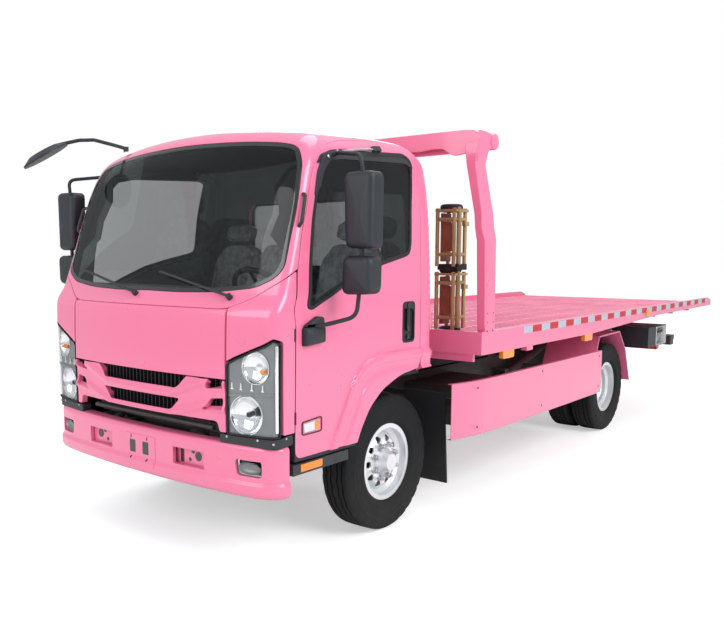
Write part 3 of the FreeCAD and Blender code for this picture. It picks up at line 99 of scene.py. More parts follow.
# %% [markdown]
# A picture of a real sky would also show in the gloss, so the sky is one even tone, and the camera alone sees
# a white one. One large soft lamp shapes the long side, where a sun would throw hard shadows; three weaker
# ones fill the rest.

# %% Sky and lamps
SKY_TONE = (0.93, 0.96, 1.0, 1)
SKY_STRENGTH = 0.72
WHITE = (1, 1, 1, 1)


def shader_node(tree, kind, **values):
    """A new node, with the values of its sockets given by name."""
    node = tree.nodes.new(kind)
    for socket, value in values.items():
        node.inputs[socket.replace("_", " ")].default_value = value
    return node


def seen_by_camera(tree, out, plain, shown):
    """Show one shader to the camera and the plain one to every other ray."""
    mix = tree.nodes.new("ShaderNodeMixShader")
    path = tree.nodes.new("ShaderNodeLightPath")
    tree.links.new(path.outputs["Is Camera Ray"], mix.inputs["Fac"])
    tree.links.new(plain.outputs[0], mix.inputs[1])
    tree.links.new(shown.outputs[0], mix.inputs[2])
    tree.links.new(mix.outputs[0], out.inputs[0])


scene.view_settings.view_transform = "Standard"
scene.world = bpy.data.worlds.new("sky")
scene.world.use_nodes = True
sky = scene.world.node_tree
sky.nodes.clear()
seen_by_camera(sky, shader_node(sky, "ShaderNodeOutputWorld"), shader_node(sky, "ShaderNodeBackground",
    Color=SKY_TONE, Strength=SKY_STRENGTH), shader_node(sky, "ShaderNodeBackground", Color=WHITE))
print("sky of", len(sky.nodes), "nodes at strength", SKY_STRENGTH)
# Name, place, the spot it faces, size and power
LAMPS = (("key_lamp", (9.0, -3.0, 6.5), (0.5, -1.0, 1.0), 5.0, 620),
    ("front_lamp", (-1.5, -10.0, 4.5), (0, -2.5, 1.2), 5.0, 240),
    ("top_lamp", (0.0, 1.0, 9.0), (0, 0, 0), 6.0, 260), ("back_lamp", (-7.0, 7.0, 5.0), (0, 1, 1), 5.0, 200))
for name, place, target, size, power in LAMPS:
    lamp_data = bpy.data.lights.new(name, "AREA")
    lamp_data.size = size
    lamp_data.energy = power
    aimed(name, lamp_data, place, Vector(target) - Vector(place))
print(len(LAMPS), "lamps")

# %% [markdown]
# A white floor would throw its light up under the truck, so this one is pale grey, and a glow that only the
# camera sees lifts it to white.

# %% Floor
FLOOR_HALF = 60
FLOOR_DROP = 0.001
FLOOR_TONE = (0.86, 0.86, 0.86, 1)
FLOOR_GLOW = 0.45
floor_mesh = bpy.data.meshes.new("floor")
floor_mesh.from_pydata([(x * FLOOR_HALF, y * FLOOR_HALF, 0)
    for x, y in ((-1, -1), (1, -1), (1, 1), (-1, 1))], [], [(0, 1, 2, 3)])
floor = bpy.data.objects.new("floor", floor_mesh)
scene.collection.objects.link(floor)
floor.location.z = -FLOOR_DROP

pale_floor = bpy.data.materials.new("pale_floor")
pale_floor.use_nodes = True
tree = pale_floor.node_tree
tree.nodes.clear()
matt = shader_node(tree, "ShaderNodeBsdfDiffuse", Color=FLOOR_TONE)
glow = shader_node(tree, "ShaderNodeEmission", Color=WHITE, Strength=FLOOR_GLOW)
lifted = tree.nodes.new("ShaderNodeAddShader")
tree.links.new(matt.outputs[0], lifted.inputs[0])
tree.links.new(glow.outputs[0], lifted.inputs[1])
seen_by_camera(tree, shader_node(tree, "ShaderNodeOutputMaterial"), matt, lifted)
floor_mesh.materials.append(pale_floor)
print("floor", 2 * FLOOR_HALF, "m across at", floor.location.z)

# %% [markdown]
# Real paint, plastic and rubber are never one flat colour. Grain, patches and dust turn up in nearly every
# finish, so each is a node group, built once, instead of copies of the same nodes.

# %% Helpers for the node groups
FLOAT = "NodeSocketFloat"
COLOUR = "NodeSocketColor"
BLACK = (0, 0, 0, 1)


def new_group(name, inputs, outputs):
    """An empty shader node group with named sockets, and its two end nodes."""
    tree = bpy.data.node_groups.new(name, "ShaderNodeTree")
    for socket, kind, value in inputs:
        tree.interface.new_socket(name=socket, in_out="INPUT", socket_type=kind).default_value = value
    for socket, kind in outputs:
        tree.interface.new_socket(name=socket, in_out="OUTPUT", socket_type=kind)
    return tree, tree.nodes.new("NodeGroupInput"), tree.nodes.new("NodeGroupOutput")


def fed(tree, socket, value):
    """Link a socket to another one, or set it to a number."""
    if isinstance(value, (int, float)):
        socket.default_value = value
    else:
        tree.links.new(value, socket)


def math_node(tree, operation, a, b, clamp=False):
    """A Math node with each input linked or set."""
    node = tree.nodes.new("ShaderNodeMath")
    node.operation = operation
    node.use_clamp = clamp
    fed(tree, node.inputs[0], a)
    fed(tree, node.inputs[1], b)
    return node.outputs[0]


def object_noise(tree, scale, detail, roughness=0.5):
    """Noise over the piece's own coordinates, so it moves with the piece."""
    place = tree.nodes.new("ShaderNodeTexCoord")
    texture = shader_node(tree, "ShaderNodeTexNoise", Detail=detail, Roughness=roughness)
    tree.links.new(place.outputs["Object"], texture.inputs["Vector"])
    fed(tree, texture.inputs["Scale"], scale)
    return texture.outputs["Fac"]


def mixed(tree, factor, first, second):
    """One colour mixed into another by a factor."""
    mix = tree.nodes.new("ShaderNodeMix")
    mix.data_type = "RGBA"
    tree.links.new(factor, mix.inputs["Factor"])
    tree.links.new(first, mix.inputs[6])
    tree.links.new(second, mix.inputs[7])
    return mix.outputs[2]


print("helpers ready: group, maths, noise, mix")

# %% [markdown]
# Grain is the orange peel of paint and the pebbling of plastic; patches are slow changes of tone, as sun and
# washing leave them. Pictures would have seams, so both come from a noise.

# %% Surface grain and colour patches
BROAD_SCALE = 6.0
grain_group, start, end = new_group("surface_grain", [("Scale", FLOAT, 400.0), ("Roughness", FLOAT, 0.4),
    ("Change", FLOAT, 0.1)], [("Height", FLOAT), ("Roughness", FLOAT)])
fine = object_noise(grain_group, start.outputs["Scale"], 2.0)
broad = object_noise(grain_group, BROAD_SCALE, 3.0)
grain_group.links.new(fine, end.inputs["Height"])
shift = math_node(grain_group, "SUBTRACT", broad, 0.5)
shift = math_node(grain_group, "MULTIPLY", shift, start.outputs["Change"])
shift = math_node(grain_group, "ADD", start.outputs["Roughness"], shift, clamp=True)
grain_group.links.new(shift, end.inputs["Roughness"])
PATCH_RANGE = {"From_Min": 0.35, "From_Max": 0.7}
patch_group, start, end = new_group("colour_patches", [("Colour", COLOUR, WHITE), ("Dark", COLOUR, BLACK),
    ("Scale", FLOAT, 3.0), ("Amount", FLOAT, 0.3)], [("Colour", COLOUR)])
mask = object_noise(patch_group, start.outputs["Scale"], 4.0, 0.6)
ramp = shader_node(patch_group, "ShaderNodeMapRange", **PATCH_RANGE)
patch_group.links.new(mask, ramp.inputs["Value"])
strength = math_node(patch_group, "MULTIPLY", ramp.outputs["Result"], start.outputs["Amount"])
tone = mixed(patch_group, strength, start.outputs["Colour"], start.outputs["Dark"])
patch_group.links.new(tone, end.inputs["Colour"])
print(patch_group.name, len(patch_group.nodes), "nodes")

# %% [markdown]
# Dust lies thick near the ground and thins out upward. Painted by hand it would be tied to one shape, so it
# comes from the height in the piece itself, broken up by specks.

# %% Road dust
DUST_TONE = (0.55, 0.5, 0.44, 1)
SPECK_SCALE = 14.0
dust_group, start, end = new_group("road_dust", [("Colour", COLOUR, WHITE), ("Dust", COLOUR, DUST_TONE),
    ("Reach", FLOAT, 0.7), ("Amount", FLOAT, 0.4)], [("Colour", COLOUR), ("Mask", FLOAT)])
place = dust_group.nodes.new("ShaderNodeTexCoord")
split = dust_group.nodes.new("ShaderNodeSeparateXYZ")
dust_group.links.new(place.outputs["Object"], split.inputs[0])
low = shader_node(dust_group, "ShaderNodeMapRange", From_Min=0.0, To_Min=1.0, To_Max=0.0)
dust_group.links.new(split.outputs["Z"], low.inputs["Value"])
dust_group.links.new(start.outputs["Reach"], low.inputs["From Max"])
specks = object_noise(dust_group, SPECK_SCALE, 6.0, 0.7)
dusty = math_node(dust_group, "MULTIPLY", low.outputs["Result"], specks)
dusty = math_node(dust_group, "MULTIPLY", dusty, start.outputs["Amount"], clamp=True)
tone = mixed(dust_group, dusty, start.outputs["Colour"], start.outputs["Dust"])
dust_group.links.new(tone, end.inputs["Colour"])
dust_group.links.new(dusty, end.inputs["Mask"])
print(dust_group.name, len(dust_group.nodes), "nodes")

# %% [markdown]
# Every finish is one recipe with other numbers: a colour with patches and dust, a roughness that varies, a
# bump from the grain. What is constant, such as a coat, is set on the shader.

# %% A finish from the shared effects
GRAIN_DEPTH = 0.001


def place_group(tree, group, values):
    """One of the shared effects, placed in a material with its own values."""
    node = tree.nodes.new("ShaderNodeGroup")
    node.node_tree = group
    for socket, value in values.items():
        node.inputs[socket].default_value = value
    return node


def new_material(name):
    """An empty material with its node tree and its shader."""
    material = bpy.data.materials.new(name)
    material.use_nodes = True
    return material, material.node_tree, material.node_tree.nodes["Principled BSDF"]


def grained(tree, shader, strength, depth, values):
    """Give a shader its roughness and its bump from the grain."""
    grain = place_group(tree, grain_group, values)
    tree.links.new(grain.outputs["Roughness"], shader.inputs["Roughness"])
    bump = shader_node(tree, "ShaderNodeBump", Strength=strength, Distance=depth)
    tree.links.new(grain.outputs["Height"], bump.inputs["Height"])
    tree.links.new(bump.outputs["Normal"], shader.inputs["Normal"])


def finish(name, colour, dark, roughness, grain, bump, patches, patch_scale=3.0, change=0.1, dust=0.0,
        reach=0.7, depth=GRAIN_DEPTH, **constants):
    """A material made from the three shared effects."""
    material, tree, shader = new_material(name)
    patch = place_group(tree, patch_group, {"Colour": (*colour, 1), "Dark": (*dark, 1), "Scale": patch_scale,
        "Amount": patches})
    tint = patch.outputs["Colour"]
    if dust:
        dusty = place_group(tree, dust_group, {"Reach": reach, "Amount": dust})
        tree.links.new(tint, dusty.inputs["Colour"])
        tint = dusty.outputs["Colour"]
    tree.links.new(tint, shader.inputs["Base Color"])
    grained(tree, shader, bump, depth, {"Scale": grain, "Roughness": roughness, "Change": change})
    for socket, value in constants.items():
        shader.inputs[socket.replace("_", " ")].default_value = value
    return material


print("finish ready, with", len(bpy.data.node_groups), "groups")

# %% [markdown]
# The cab's pink is smooth under a clear coat, the deck's is worn; one material with a mask could do both, but
# two are easier to tune. Plastic, seals and tyres are all nearly black, and the roughness tells them apart.

# %% Paints, plastics and metals
pink = finish("pink_paint", (0.81, 0.17, 0.312), (0.8, 0.158, 0.295), 0.28, 260.0, 0.04, 0.12,
    patch_scale=1.3, change=0.03, dust=0.08, reach=0.9, depth=0.0003, Coat_Weight=0.6, Coat_Roughness=0.05)
deck_pink = finish("deck_paint", (0.78, 0.215, 0.335), (0.55, 0.15, 0.235), 0.42, 120.0, 0.12, 0.8,
    patch_scale=2.2, change=0.2, Coat_Weight=0.2)
plastic = finish("black_plastic", (0.011, 0.014, 0.019), (0.018, 0.021, 0.026), 0.5, 900.0, 0.35, 0.6,
    change=0.15, dust=0.1, reach=0.9, depth=0.0008)
gloss_black = finish("gloss_black", (0.008, 0.009, 0.011), (0.015, 0.016, 0.018), 0.12, 300.0, 0.02, 0.4,
    change=0.04, Coat_Weight=0.5)
rubber = finish("rubber_seal", (0.007, 0.007, 0.009), (0.013, 0.013, 0.015), 0.72, 500.0, 0.3, 0.6,
    dust=0.08, reach=0.6)
tyre_rubber = finish("tyre_rubber", (0.004, 0.005, 0.006), (0.009, 0.009, 0.01), 0.7, 380.0, 0.35, 0.7,
    patch_scale=7.0, change=0.18, dust=0.05, reach=0.5, Specular_IOR_Level=0.25)
silver = finish("silver_paint", (0.8, 0.81, 0.83), (0.68, 0.69, 0.71), 0.34, 700.0, 0.1, 0.5,
    patch_scale=8.0, dust=0.15, reach=0.6, Metallic=0.65, Coat_Weight=0.2)
steel = finish("bare_metal", (0.56, 0.56, 0.57), (0.36, 0.36, 0.37), 0.36, 340.0, 0.12, 0.7, patch_scale=9.0,
    change=0.25, Metallic=0.95)
dark_frame = finish("dark_frame_paint", (0.012, 0.013, 0.016), (0.026, 0.025, 0.026), 0.48, 240.0, 0.16, 0.7,
    patch_scale=4.0, dust=0.35, reach=0.9)
gold = finish("gold_paint", (0.46, 0.33, 0.15), (0.3, 0.21, 0.1), 0.38, 420.0, 0.1, 0.7, patch_scale=8.0,
    change=0.2, Metallic=0.3)
chrome = finish("lamp_mirror", (0.86, 0.87, 0.88), (0.7, 0.71, 0.73), 0.08, 60.0, 0.03, 0.3, Metallic=1.0)
lamp_grey = finish("lamp_housing", (0.22, 0.235, 0.24), (0.15, 0.158, 0.165), 0.32, 500.0, 0.05, 0.5,
    Metallic=0.35, Coat_Weight=0.3)
print("metals:", silver.name, steel.name, dark_frame.name, gold.name, chrome.name, lamp_grey.name)

# %% [markdown]
# Small lenses hide their lamps, so a solid colour under a clear coat looks like tinted glass and renders
# faster. The seats' wrapping is a strong bump, which shows better through glass than loose folds.

# %% Lenses, tape and the cab's inside
amber = finish("amber_lens", (0.9, 0.28, 0.03), (0.75, 0.2, 0.02), 0.18, 180.0, 0.1, 0.4, Coat_Weight=0.5)
red_lens = finish("red_lens", (0.62, 0.02, 0.02), (0.45, 0.01, 0.01), 0.18, 180.0, 0.1, 0.4, Coat_Weight=0.5)
red_tape = finish("red_tape", (0.52, 0.006, 0.018), (0.44, 0.005, 0.013), 0.5, 600.0, 0.1, 0.5,
    patch_scale=20.0, Coat_Weight=0.1)
white_tape = finish("white_tape", (0.42, 0.48, 0.56), (0.35, 0.4, 0.47), 0.26, 600.0, 0.1, 0.5,
    patch_scale=20.0, Coat_Weight=0.4)
fabric = finish("seat_fabric", (0.06, 0.062, 0.07), (0.1, 0.1, 0.11), 0.85, 700.0, 0.5, 0.6,
    patch_scale=12.0, Sheen_Weight=0.3)
trim_grey = finish("cab_trim", (0.055, 0.058, 0.061), (0.038, 0.04, 0.044), 0.72, 600.0, 0.3, 0.5,
    patch_scale=5.0)
inner_grey = finish("inner_board", (0.022, 0.024, 0.027), (0.014, 0.015, 0.018), 0.7, 500.0, 0.25, 0.5,
    patch_scale=4.0)
seat_wrap = finish("seat_wrap", (0.34, 0.36, 0.37), (0.075, 0.08, 0.085), 0.24, 90.0, 0.9, 1.0,
    patch_scale=22.0)
brown_board = finish("brown_board", (0.3, 0.1, 0.05), (0.16, 0.06, 0.03), 0.6, 300.0, 0.3, 0.8,
    patch_scale=9.0)
dash_grey = finish("dashboard_plastic", (0.07, 0.073, 0.08), (0.1, 0.1, 0.11), 0.6, 500.0, 0.4, 0.6)
print("inside:", fabric.name, trim_grey.name, inner_grey.name, seat_wrap.name, dash_grey.name)

# %% [markdown]
# Fully clear panes would bend the view of the seats, so both glasses let part of the light straight through
# by their alpha, and a weak bump gives a pane's faint waves.

# %% Glass
WAVE_SCALE = 9.0
WAVE_STRENGTH = 0.02


def glassy(name, colour, roughness, alpha, ior=1.45):
    """A clear or tinted glass with faint waves in it."""
    material, tree, shader = new_material(name)
    for socket, value in (("Base Color", (*colour, 1)), ("Transmission Weight", 1.0), ("IOR", ior),
            ("Alpha", alpha)):
        shader.inputs[socket].default_value = value
    grained(tree, shader, WAVE_STRENGTH, GRAIN_DEPTH, {"Scale": WAVE_SCALE, "Roughness": roughness,
        "Change": 0.02})
    return material


glass = glassy("window_glass", (0.02, 0.03, 0.03), 0.02, 0.56)
clear = glassy("lamp_glass", (0.97, 0.98, 0.98), 0.03, 0.25, ior=1.2)
print(len(bpy.data.materials), "materials")

# %% [markdown]
# A renderer shows an unfinished slot as grey, so every solid of the frame gets the paint that the record
# names, or one from the short list of exceptions.

# %% Finishes for the frame's own solids
PAINT_OF = {"pink_paint": pink, "black_plastic": plastic, "rubber": rubber, "tyre_rubber": tyre_rubber,
    "silver_paint": silver, "window_glass": glass, "dark_frame_paint": dark_frame, "bare_metal": steel,
    "gold_paint": gold, "lamp_glass": clear, "amber_lens": amber, "seat_fabric": fabric}
SLOT_OF = {paint.name: slot for slot, paint in PAINT_OF.items()}
SLOT_OF.update({"deck_paint": "pink_paint", "gloss_black": "black_plastic", "rubber_seal": "rubber",
    "lamp_mirror": "bare_metal", "lamp_housing": "black_plastic", "red_lens": "lamp_glass",
    "red_tape": "pink_paint", "white_tape": "silver_paint", "cab_trim": "black_plastic",
    "dashboard_plastic": "black_plastic", "inner_board": "black_plastic", "seat_wrap": "seat_fabric",
    "brown_board": "gold_paint"})
OWN_FINISH = {"tail_lamps": red_lens, "dashboard": dash_grey, "bed_deck": deck_pink, "cab_shell": inner_grey,
    "door_left": inner_grey, "door_right": inner_grey, "control_box": plastic}
for node_name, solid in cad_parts.items():
    for place in solid.material_slots:
        stock = place.material.name.split(".")[0] if place.material else "dark_frame_paint"
        place.material = OWN_FINISH.get(node_name, PAINT_OF.get(stock, dark_frame))
print("finished", len(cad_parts), "solids with", len(PAINT_OF) + len(OWN_FINISH), "paints")

# %% [markdown]
# Small parts are drawn into one mesh a piece. Blender's own primitives could be joined, but each line here
# says where a part begins and ends. Most other forms are skins between rings of spots.

# %% Blocks and skins
BLOCK_SIDES = ((0, 2, 3, 1), (4, 5, 7, 6), (0, 1, 5, 4), (2, 6, 7, 3), (1, 3, 7, 5), (0, 4, 6, 2))


def block(mesh, x, y, z):
    """A block between two values on each axis."""
    spots = [mesh.verts.new((a, b, c)) for c in z for b in y for a in x]
    for ring in BLOCK_SIDES:
        mesh.faces.new([spots[i] for i in ring])


def blocks(mesh, *rows):
    """Blocks by rows of six: both ends in x, in y from the front axle, and in z."""
    for x0, x1, y0, y1, z0, z1 in rows:
        block(mesh, (x0, x1), (fy(y0), fy(y1)), (z0, z1))


def skinned(mesh, rings, paint=0, closed=False):
    """Faces between rings of spots, with both ends filled unless the rings close up."""
    rows = [[mesh.verts.new(p) for p in ring] for ring in rings]
    count = len(rows[0])
    for a, b in zip(rows, rows[1:] + rows[:1] if closed else rows[1:]):
        for i in range(count):
            j = (i + 1) % count
            mesh.faces.new((a[i], a[j], b[j], b[i])).material_index = paint
    if not closed:
        mesh.faces.new(rows[0][::-1]).material_index = paint
        mesh.faces.new(rows[-1]).material_index = paint


def round_steps(count):
    """Even steps round a circle, as angles."""
    return [2 * math.pi * k / count for k in range(count)]


def held(value):
    """A value kept between 0 and 1."""
    return min(max(value, 0.0), 1.0)


print("a block has", len(BLOCK_SIDES), "faces")

# %% [markdown]
# Bars, handles and mirror arms are bent tubes. A curve object has no radius for each bend, so corners become
# short curves, and a ring is carried along without twisting.

# %% Tubes with bent corners
CORNER_ROOM = 0.48
BEND_STEPS = 6


def bent(before, corner, after, radius, steps):
    """A corner as a short curve, where there is room for one."""
    back, onward = before - corner, after - corner
    reach = min(radius, back.length * CORNER_ROOM, onward.length * CORNER_ROOM)
    if reach < 1e-5:
        return [corner]
    start = corner + back.normalized() * reach
    end = corner + onward.normalized() * reach
    parts = [k / steps for k in range(steps + 1)]
    return [start * (1 - t) ** 2 + corner * 2 * t * (1 - t) + end * t * t for t in parts]


def tube(mesh, route, radius, sides=16, bend=0.0):
    """A round bar along a route, with its corners bent to a radius."""
    route = [Vector(p) for p in route]
    spots = [route[0]]
    for before, corner, after in zip(route, route[1:], route[2:]):
        spots += bent(before, corner, after, bend, BEND_STEPS)
    spots.append(route[-1])
    rings = []
    side = None
    for i, spot in enumerate(spots):
        ahead = (spots[min(i + 1, len(spots) - 1)] - spots[max(i - 1, 0)]).normalized()
        if side is None:
            side = ahead.cross(Vector((0.3, 0.2, 1))).normalized()
        side = (side - ahead * side.dot(ahead)).normalized()
        other = ahead.cross(side)
        rings.append([spot + side * radius * math.cos(a) + other * radius * math.sin(a)
            for a in round_steps(sides)])
    skinned(mesh, rings)


print("a bend has", BEND_STEPS, "steps")

# %% [markdown]
# Bolts, bowls and tyres are profiles carried round an axis; plates are cut to an outline, with its corners
# rounded first, since no sheared edge is quite sharp.

# %% Turned forms, plates and rounded outlines
def turned(mesh, centre, axis, profile, sides=48, paint=0, closed=False):
    """A form turned round an axis: the profile holds radius and distance along the axis."""
    axis = Vector(axis).normalized()
    side = axis.orthogonal().normalized()
    other = axis.cross(side)
    rings = []
    for radius, along in profile:
        spot = Vector(centre) + axis * along
        rings.append([spot + (side * math.cos(a) + other * math.sin(a)) * radius for a in round_steps(sides)])
    skinned(mesh, rings, paint, closed)


def plate(mesh, outline, thick, place):
    """A sheet cut to an outline; place makes a spot of its two values and a depth."""
    skinned(mesh, [[place(a, b, deep) for a, b in outline] for deep in (0.0, thick)])


def rounded(points, radius=0.02, steps=5):
    """An outline with its corners rounded; a point may bring a radius of its own."""
    result = []
    for i, point in enumerate(points):
        before, corner, after = (Vector(p[:2]) for p in (points[i - 1], point, points[(i + 1) % len(points)]))
        own = point[2] if len(point) > 2 else radius
        result += [tuple(p) for p in bent(before, corner, after, own, steps)]
    return result


print("a square with rounded corners has", len(rounded([(0, 0), (1, 0), (1, 1), (0, 1)])), "points")

# %% [markdown]
# Arches, skirts and the bumper follow smooth lines through a few points. A Bezier curve needs handles set by
# hand; here each direction comes from the neighbours.

# %% Smooth lines
LINE_STEPS = 8


def measured(points):
    """A smooth run through points in small steps, each with its length so far."""
    smooth = []
    for i in range(len(points) - 1):
        a = Vector(points[max(i - 1, 0)])
        b = Vector(points[i])
        c = Vector(points[i + 1])
        d = Vector(points[min(i + 2, len(points) - 1)])
        first = (c - a) * (c - b).length / max((c - b).length + (b - a).length, 1e-9)
        second = (d - b) * (c - b).length / max((d - c).length + (c - b).length, 1e-9)
        for k in range(LINE_STEPS):
            t = k / LINE_STEPS
            smooth.append(b * (1 + 2 * t) * (1 - t) ** 2 + first * t * (1 - t) ** 2 + c * t * t * (3 - 2 * t)
                + second * t * t * (t - 1))
    smooth.append(Vector(points[-1]))
    runs = [0.0]
    for a, b in zip(smooth, smooth[1:]):
        runs.append(runs[-1] + (b - a).length)
    return smooth, runs


def at_run(line, run):
    """The spot at a length along a measured line."""
    smooth, runs = line
    i = int(np.searchsorted(runs, run)) - 1
    i = min(max(i, 0), len(smooth) - 2)
    t = (run - runs[i]) / (runs[i + 1] - runs[i])
    return smooth[i] * (1 - t) + smooth[i + 1] * t


print("a straight metre measures", round(measured([(0, 0), (1, 0)])[1][-1], 3))

# %% [markdown]
# A drawn mesh becomes a piece with its paint, its body and the solid it stands for. What the truck has twice
# is drawn once and mirrored; a mirror modifier would need an origin to match.

# %% From a drawn mesh to a piece
BEVEL_STEPS = 2


def flipped(spots):
    """Move spots to the truck's other side."""
    for spot in spots:
        spot.co.x = -spot.co.x


def mirror(mesh):
    """The same shapes again on the truck's other side."""
    copy = bmesh.ops.duplicate(mesh, geom=mesh.verts[:] + mesh.edges[:] + mesh.faces[:])["geom"]
    flipped([part for part in copy if isinstance(part, bmesh.types.BMVert)])
    bmesh.ops.reverse_faces(mesh, faces=[part for part in copy if isinstance(part, bmesh.types.BMFace)])


def place_piece(name, data, paints, body, nodes):
    """Link a mesh as a piece, with its paints, body and what it stands for."""
    paints = paints if isinstance(paints, (list, tuple)) else [paints]
    for paint in paints:
        data.materials.append(paint)
    piece = bpy.data.objects.new(name, data)
    scene.collection.objects.link(piece)
    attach(piece, body)
    if nodes:
        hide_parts(*nodes)
    print(name, len(data.polygons), "faces")
    return piece


def finish_piece(name, mesh, paints, body, *nodes, edge=0.003, both=False, smooth=38):
    """Turn a drawn mesh into a piece with rounded edges."""
    if both:
        mirror(mesh)
    bmesh.ops.recalc_face_normals(mesh, faces=mesh.faces[:])
    data = bpy.data.meshes.new(name)
    mesh.to_mesh(data)
    mesh.free()
    data.polygons.foreach_set("use_smooth", [True] * len(data.polygons))
    data.set_sharp_from_angle(angle=math.radians(smooth))
    piece = place_piece(name, data, paints, body, nodes)
    if edge > 0:
        bevel = piece.modifiers.new("round_edges", "BEVEL")
        bevel.width = edge
        bevel.segments = BEVEL_STEPS
        bevel.limit_method = "ANGLE"
        bevel.angle_limit = math.radians(smooth)
        bevel.harden_normals = True
    return piece


print("pieces may use", len(SLOT_OF), "paints")

# %% [markdown]
# The cab is one smooth skin, cut by shut lines into panels. In a subdivision cage doors and lid would pull at
# the surface near their edges; cut from one formula, reflections pass over the shut lines without a break.

# %% The levels of the cab's skin
# Run up the skin, height, nose, half width, rear and how much the front bows
SKIN_LEVELS = [(0.4, 0.4, -1.064, 0.916, 0.38, 0.08), (0.56, 0.56, -1.066, 0.917, 0.38, 0.08),
    (0.96, 0.96, -1.07, 0.92, 0.38, 0.08), (1.27, 1.27, -1.06, 0.92, 0.38, 0.076),
    (1.4, 1.372, -0.995, 0.918, 0.38, 0.066), (1.55, 1.5, -0.94, 0.913, 0.38, 0.058),
    (1.815, 1.75, -0.858, 0.899, 0.38, 0.056), (2.13, 2.045, -0.752, 0.868, 0.364, 0.056),
    (2.22, 2.125, -0.705, 0.838, 0.318, 0.06), (2.32, 2.178, -0.62, 0.775, 0.22, 0.066),
    (2.6, 2.205, -0.38, 0.53, 0.03, 0.07), (2.85, 2.212, -0.23, 0.24, -0.08, 0.07),
    (3.05, 2.213, -0.165, 0.003, -0.14, 0.07)]
SKIN_COLUMNS = list(zip(*SKIN_LEVELS))
SKIN_FOOT, SKIN_CREST = SKIN_COLUMNS[0][0], SKIN_COLUMNS[0][-1]


def column_slopes(xs, ys):
    """Slopes for a curve through the levels that never overshoots."""
    steps = [(ys[i + 1] - ys[i]) / (xs[i + 1] - xs[i]) for i in range(len(xs) - 1)]
    middle = [0.0 if a * b <= 0 else 2 * a * b / (a + b) for a, b in zip(steps, steps[1:])]
    return [steps[0]] + middle + [steps[-1]]


SKIN_SLOPES = [column_slopes(SKIN_COLUMNS[0], column) for column in SKIN_COLUMNS]
level_store = {}


def skin_level(v):
    """Height, nose, half width, rear and bow at a run up the skin."""
    v = min(max(v, SKIN_FOOT), SKIN_CREST)
    if v in level_store:
        return level_store[v]
    xs = SKIN_COLUMNS[0]
    i = 0
    while i < len(xs) - 2 and v > xs[i + 1]:
        i += 1
    gap = xs[i + 1] - xs[i]
    t = (v - xs[i]) / gap
    row = []
    for c, m in zip(SKIN_COLUMNS[1:], SKIN_SLOPES[1:]):
        near = (1 + 2 * t) * (1 - t) ** 2 * c[i] + t * (1 - t) ** 2 * gap * m[i]
        row.append(near + t * t * (3 - 2 * t) * c[i + 1] + t * t * (t - 1) * gap * m[i + 1])
    level_store[v] = row
    return row


print("skin from", skin_level(SKIN_FOOT)[0], "to", skin_level(SKIN_CREST)[0], "m, on", len(SKIN_LEVELS),
    "levels")

# %% [markdown]
# Each level is a ring in five parts: bowed front, corner, side, rear corner and back. Their lengths are
# fixed, so a shut line stays on its part wherever the cab widens.

# %% A spot on the skin
# Where front, corner, side, rear corner and back end
SKIN_RUNS = (0.86, 0.96, 2.19, 2.28, 3.14)
CORNER_SHARE = 0.93
CORNER_TURN = 0.072
CORNER_PULL = (0.66, 0.6)
REAR_CORNER = 0.06
REAR_CORNER_SHARE = 0.4
CROWN_FOOT, CROWN_REACH = 1.85, 0.3
CROWN_AHEAD, CROWN_LENGTH = 0.5, 0.4
CROWN_RISE, CROWN_FALL = 0.03, 0.065
ROOF_HALF = 0.868


def skin_spot(s, v):
    """A spot on the cab: s runs round it from the middle of the nose, v runs up it."""
    z, nose, half, rear, bend = skin_level(v)
    side = -1 if s < 0 else 1
    s = abs(s)
    corner_x = CORNER_SHARE * half
    bow = bend * half
    side_y = nose + (bend + CORNER_TURN) * half
    radius = min(REAR_CORNER, half * REAR_CORNER_SHARE)
    a, b, c, d, e = SKIN_RUNS
    if s <= a:
        x = corner_x * s / a
        y = nose + bow * (x / corner_x) ** 2
    elif s <= b:
        t = (s - a) / (b - a)
        pull = CORNER_PULL[0] * (half - corner_x)
        first = (corner_x + pull, nose + bow + pull * 2 * bow / corner_x)
        second = (half, side_y - CORNER_PULL[1] * (side_y - nose - bow))
        k = ((1 - t) ** 3, 3 * t * (1 - t) ** 2, 3 * t * t * (1 - t), t ** 3)
        x = k[0] * corner_x + k[1] * first[0] + k[2] * second[0] + k[3] * half
        y = k[0] * (nose + bow) + k[1] * first[1] + k[2] * second[1] + k[3] * side_y
    elif s <= c:
        x = half
        y = side_y + (rear - radius - side_y) * (s - b) / (c - b)
    elif s <= d:
        t = (s - c) / (d - c) * math.pi / 2
        x = half - radius + radius * math.cos(t)
        y = rear - radius + radius * math.sin(t)
    else:
        x = (half - radius) * (1 - (s - d) / (e - d))
        y = rear
    k = held((z - CROWN_FOOT) / CROWN_REACH)
    c = held((y + CROWN_AHEAD) / CROWN_LENGTH)
    fall = (CROWN_FALL - CROWN_RISE * c) * (x / ROOF_HALF) ** 2
    z += k * k * (3 - 2 * k) * (CROWN_RISE - fall)
    return Vector((side * x, FRONT_AXLE_Y + y, z))


print("skin width", round(2 * skin_spot(1.5, 1.1).x, 3), "m, roof", round(skin_spot(0, 3.04).z, 3), "m")

# %% [markdown]
# A pressed form is a small swell of the skin. A displacement modifier would show every triangle in the gloss,
# so the facing comes from the slopes, swell and all.

# %% Which way the skin faces
PROBE = 0.002


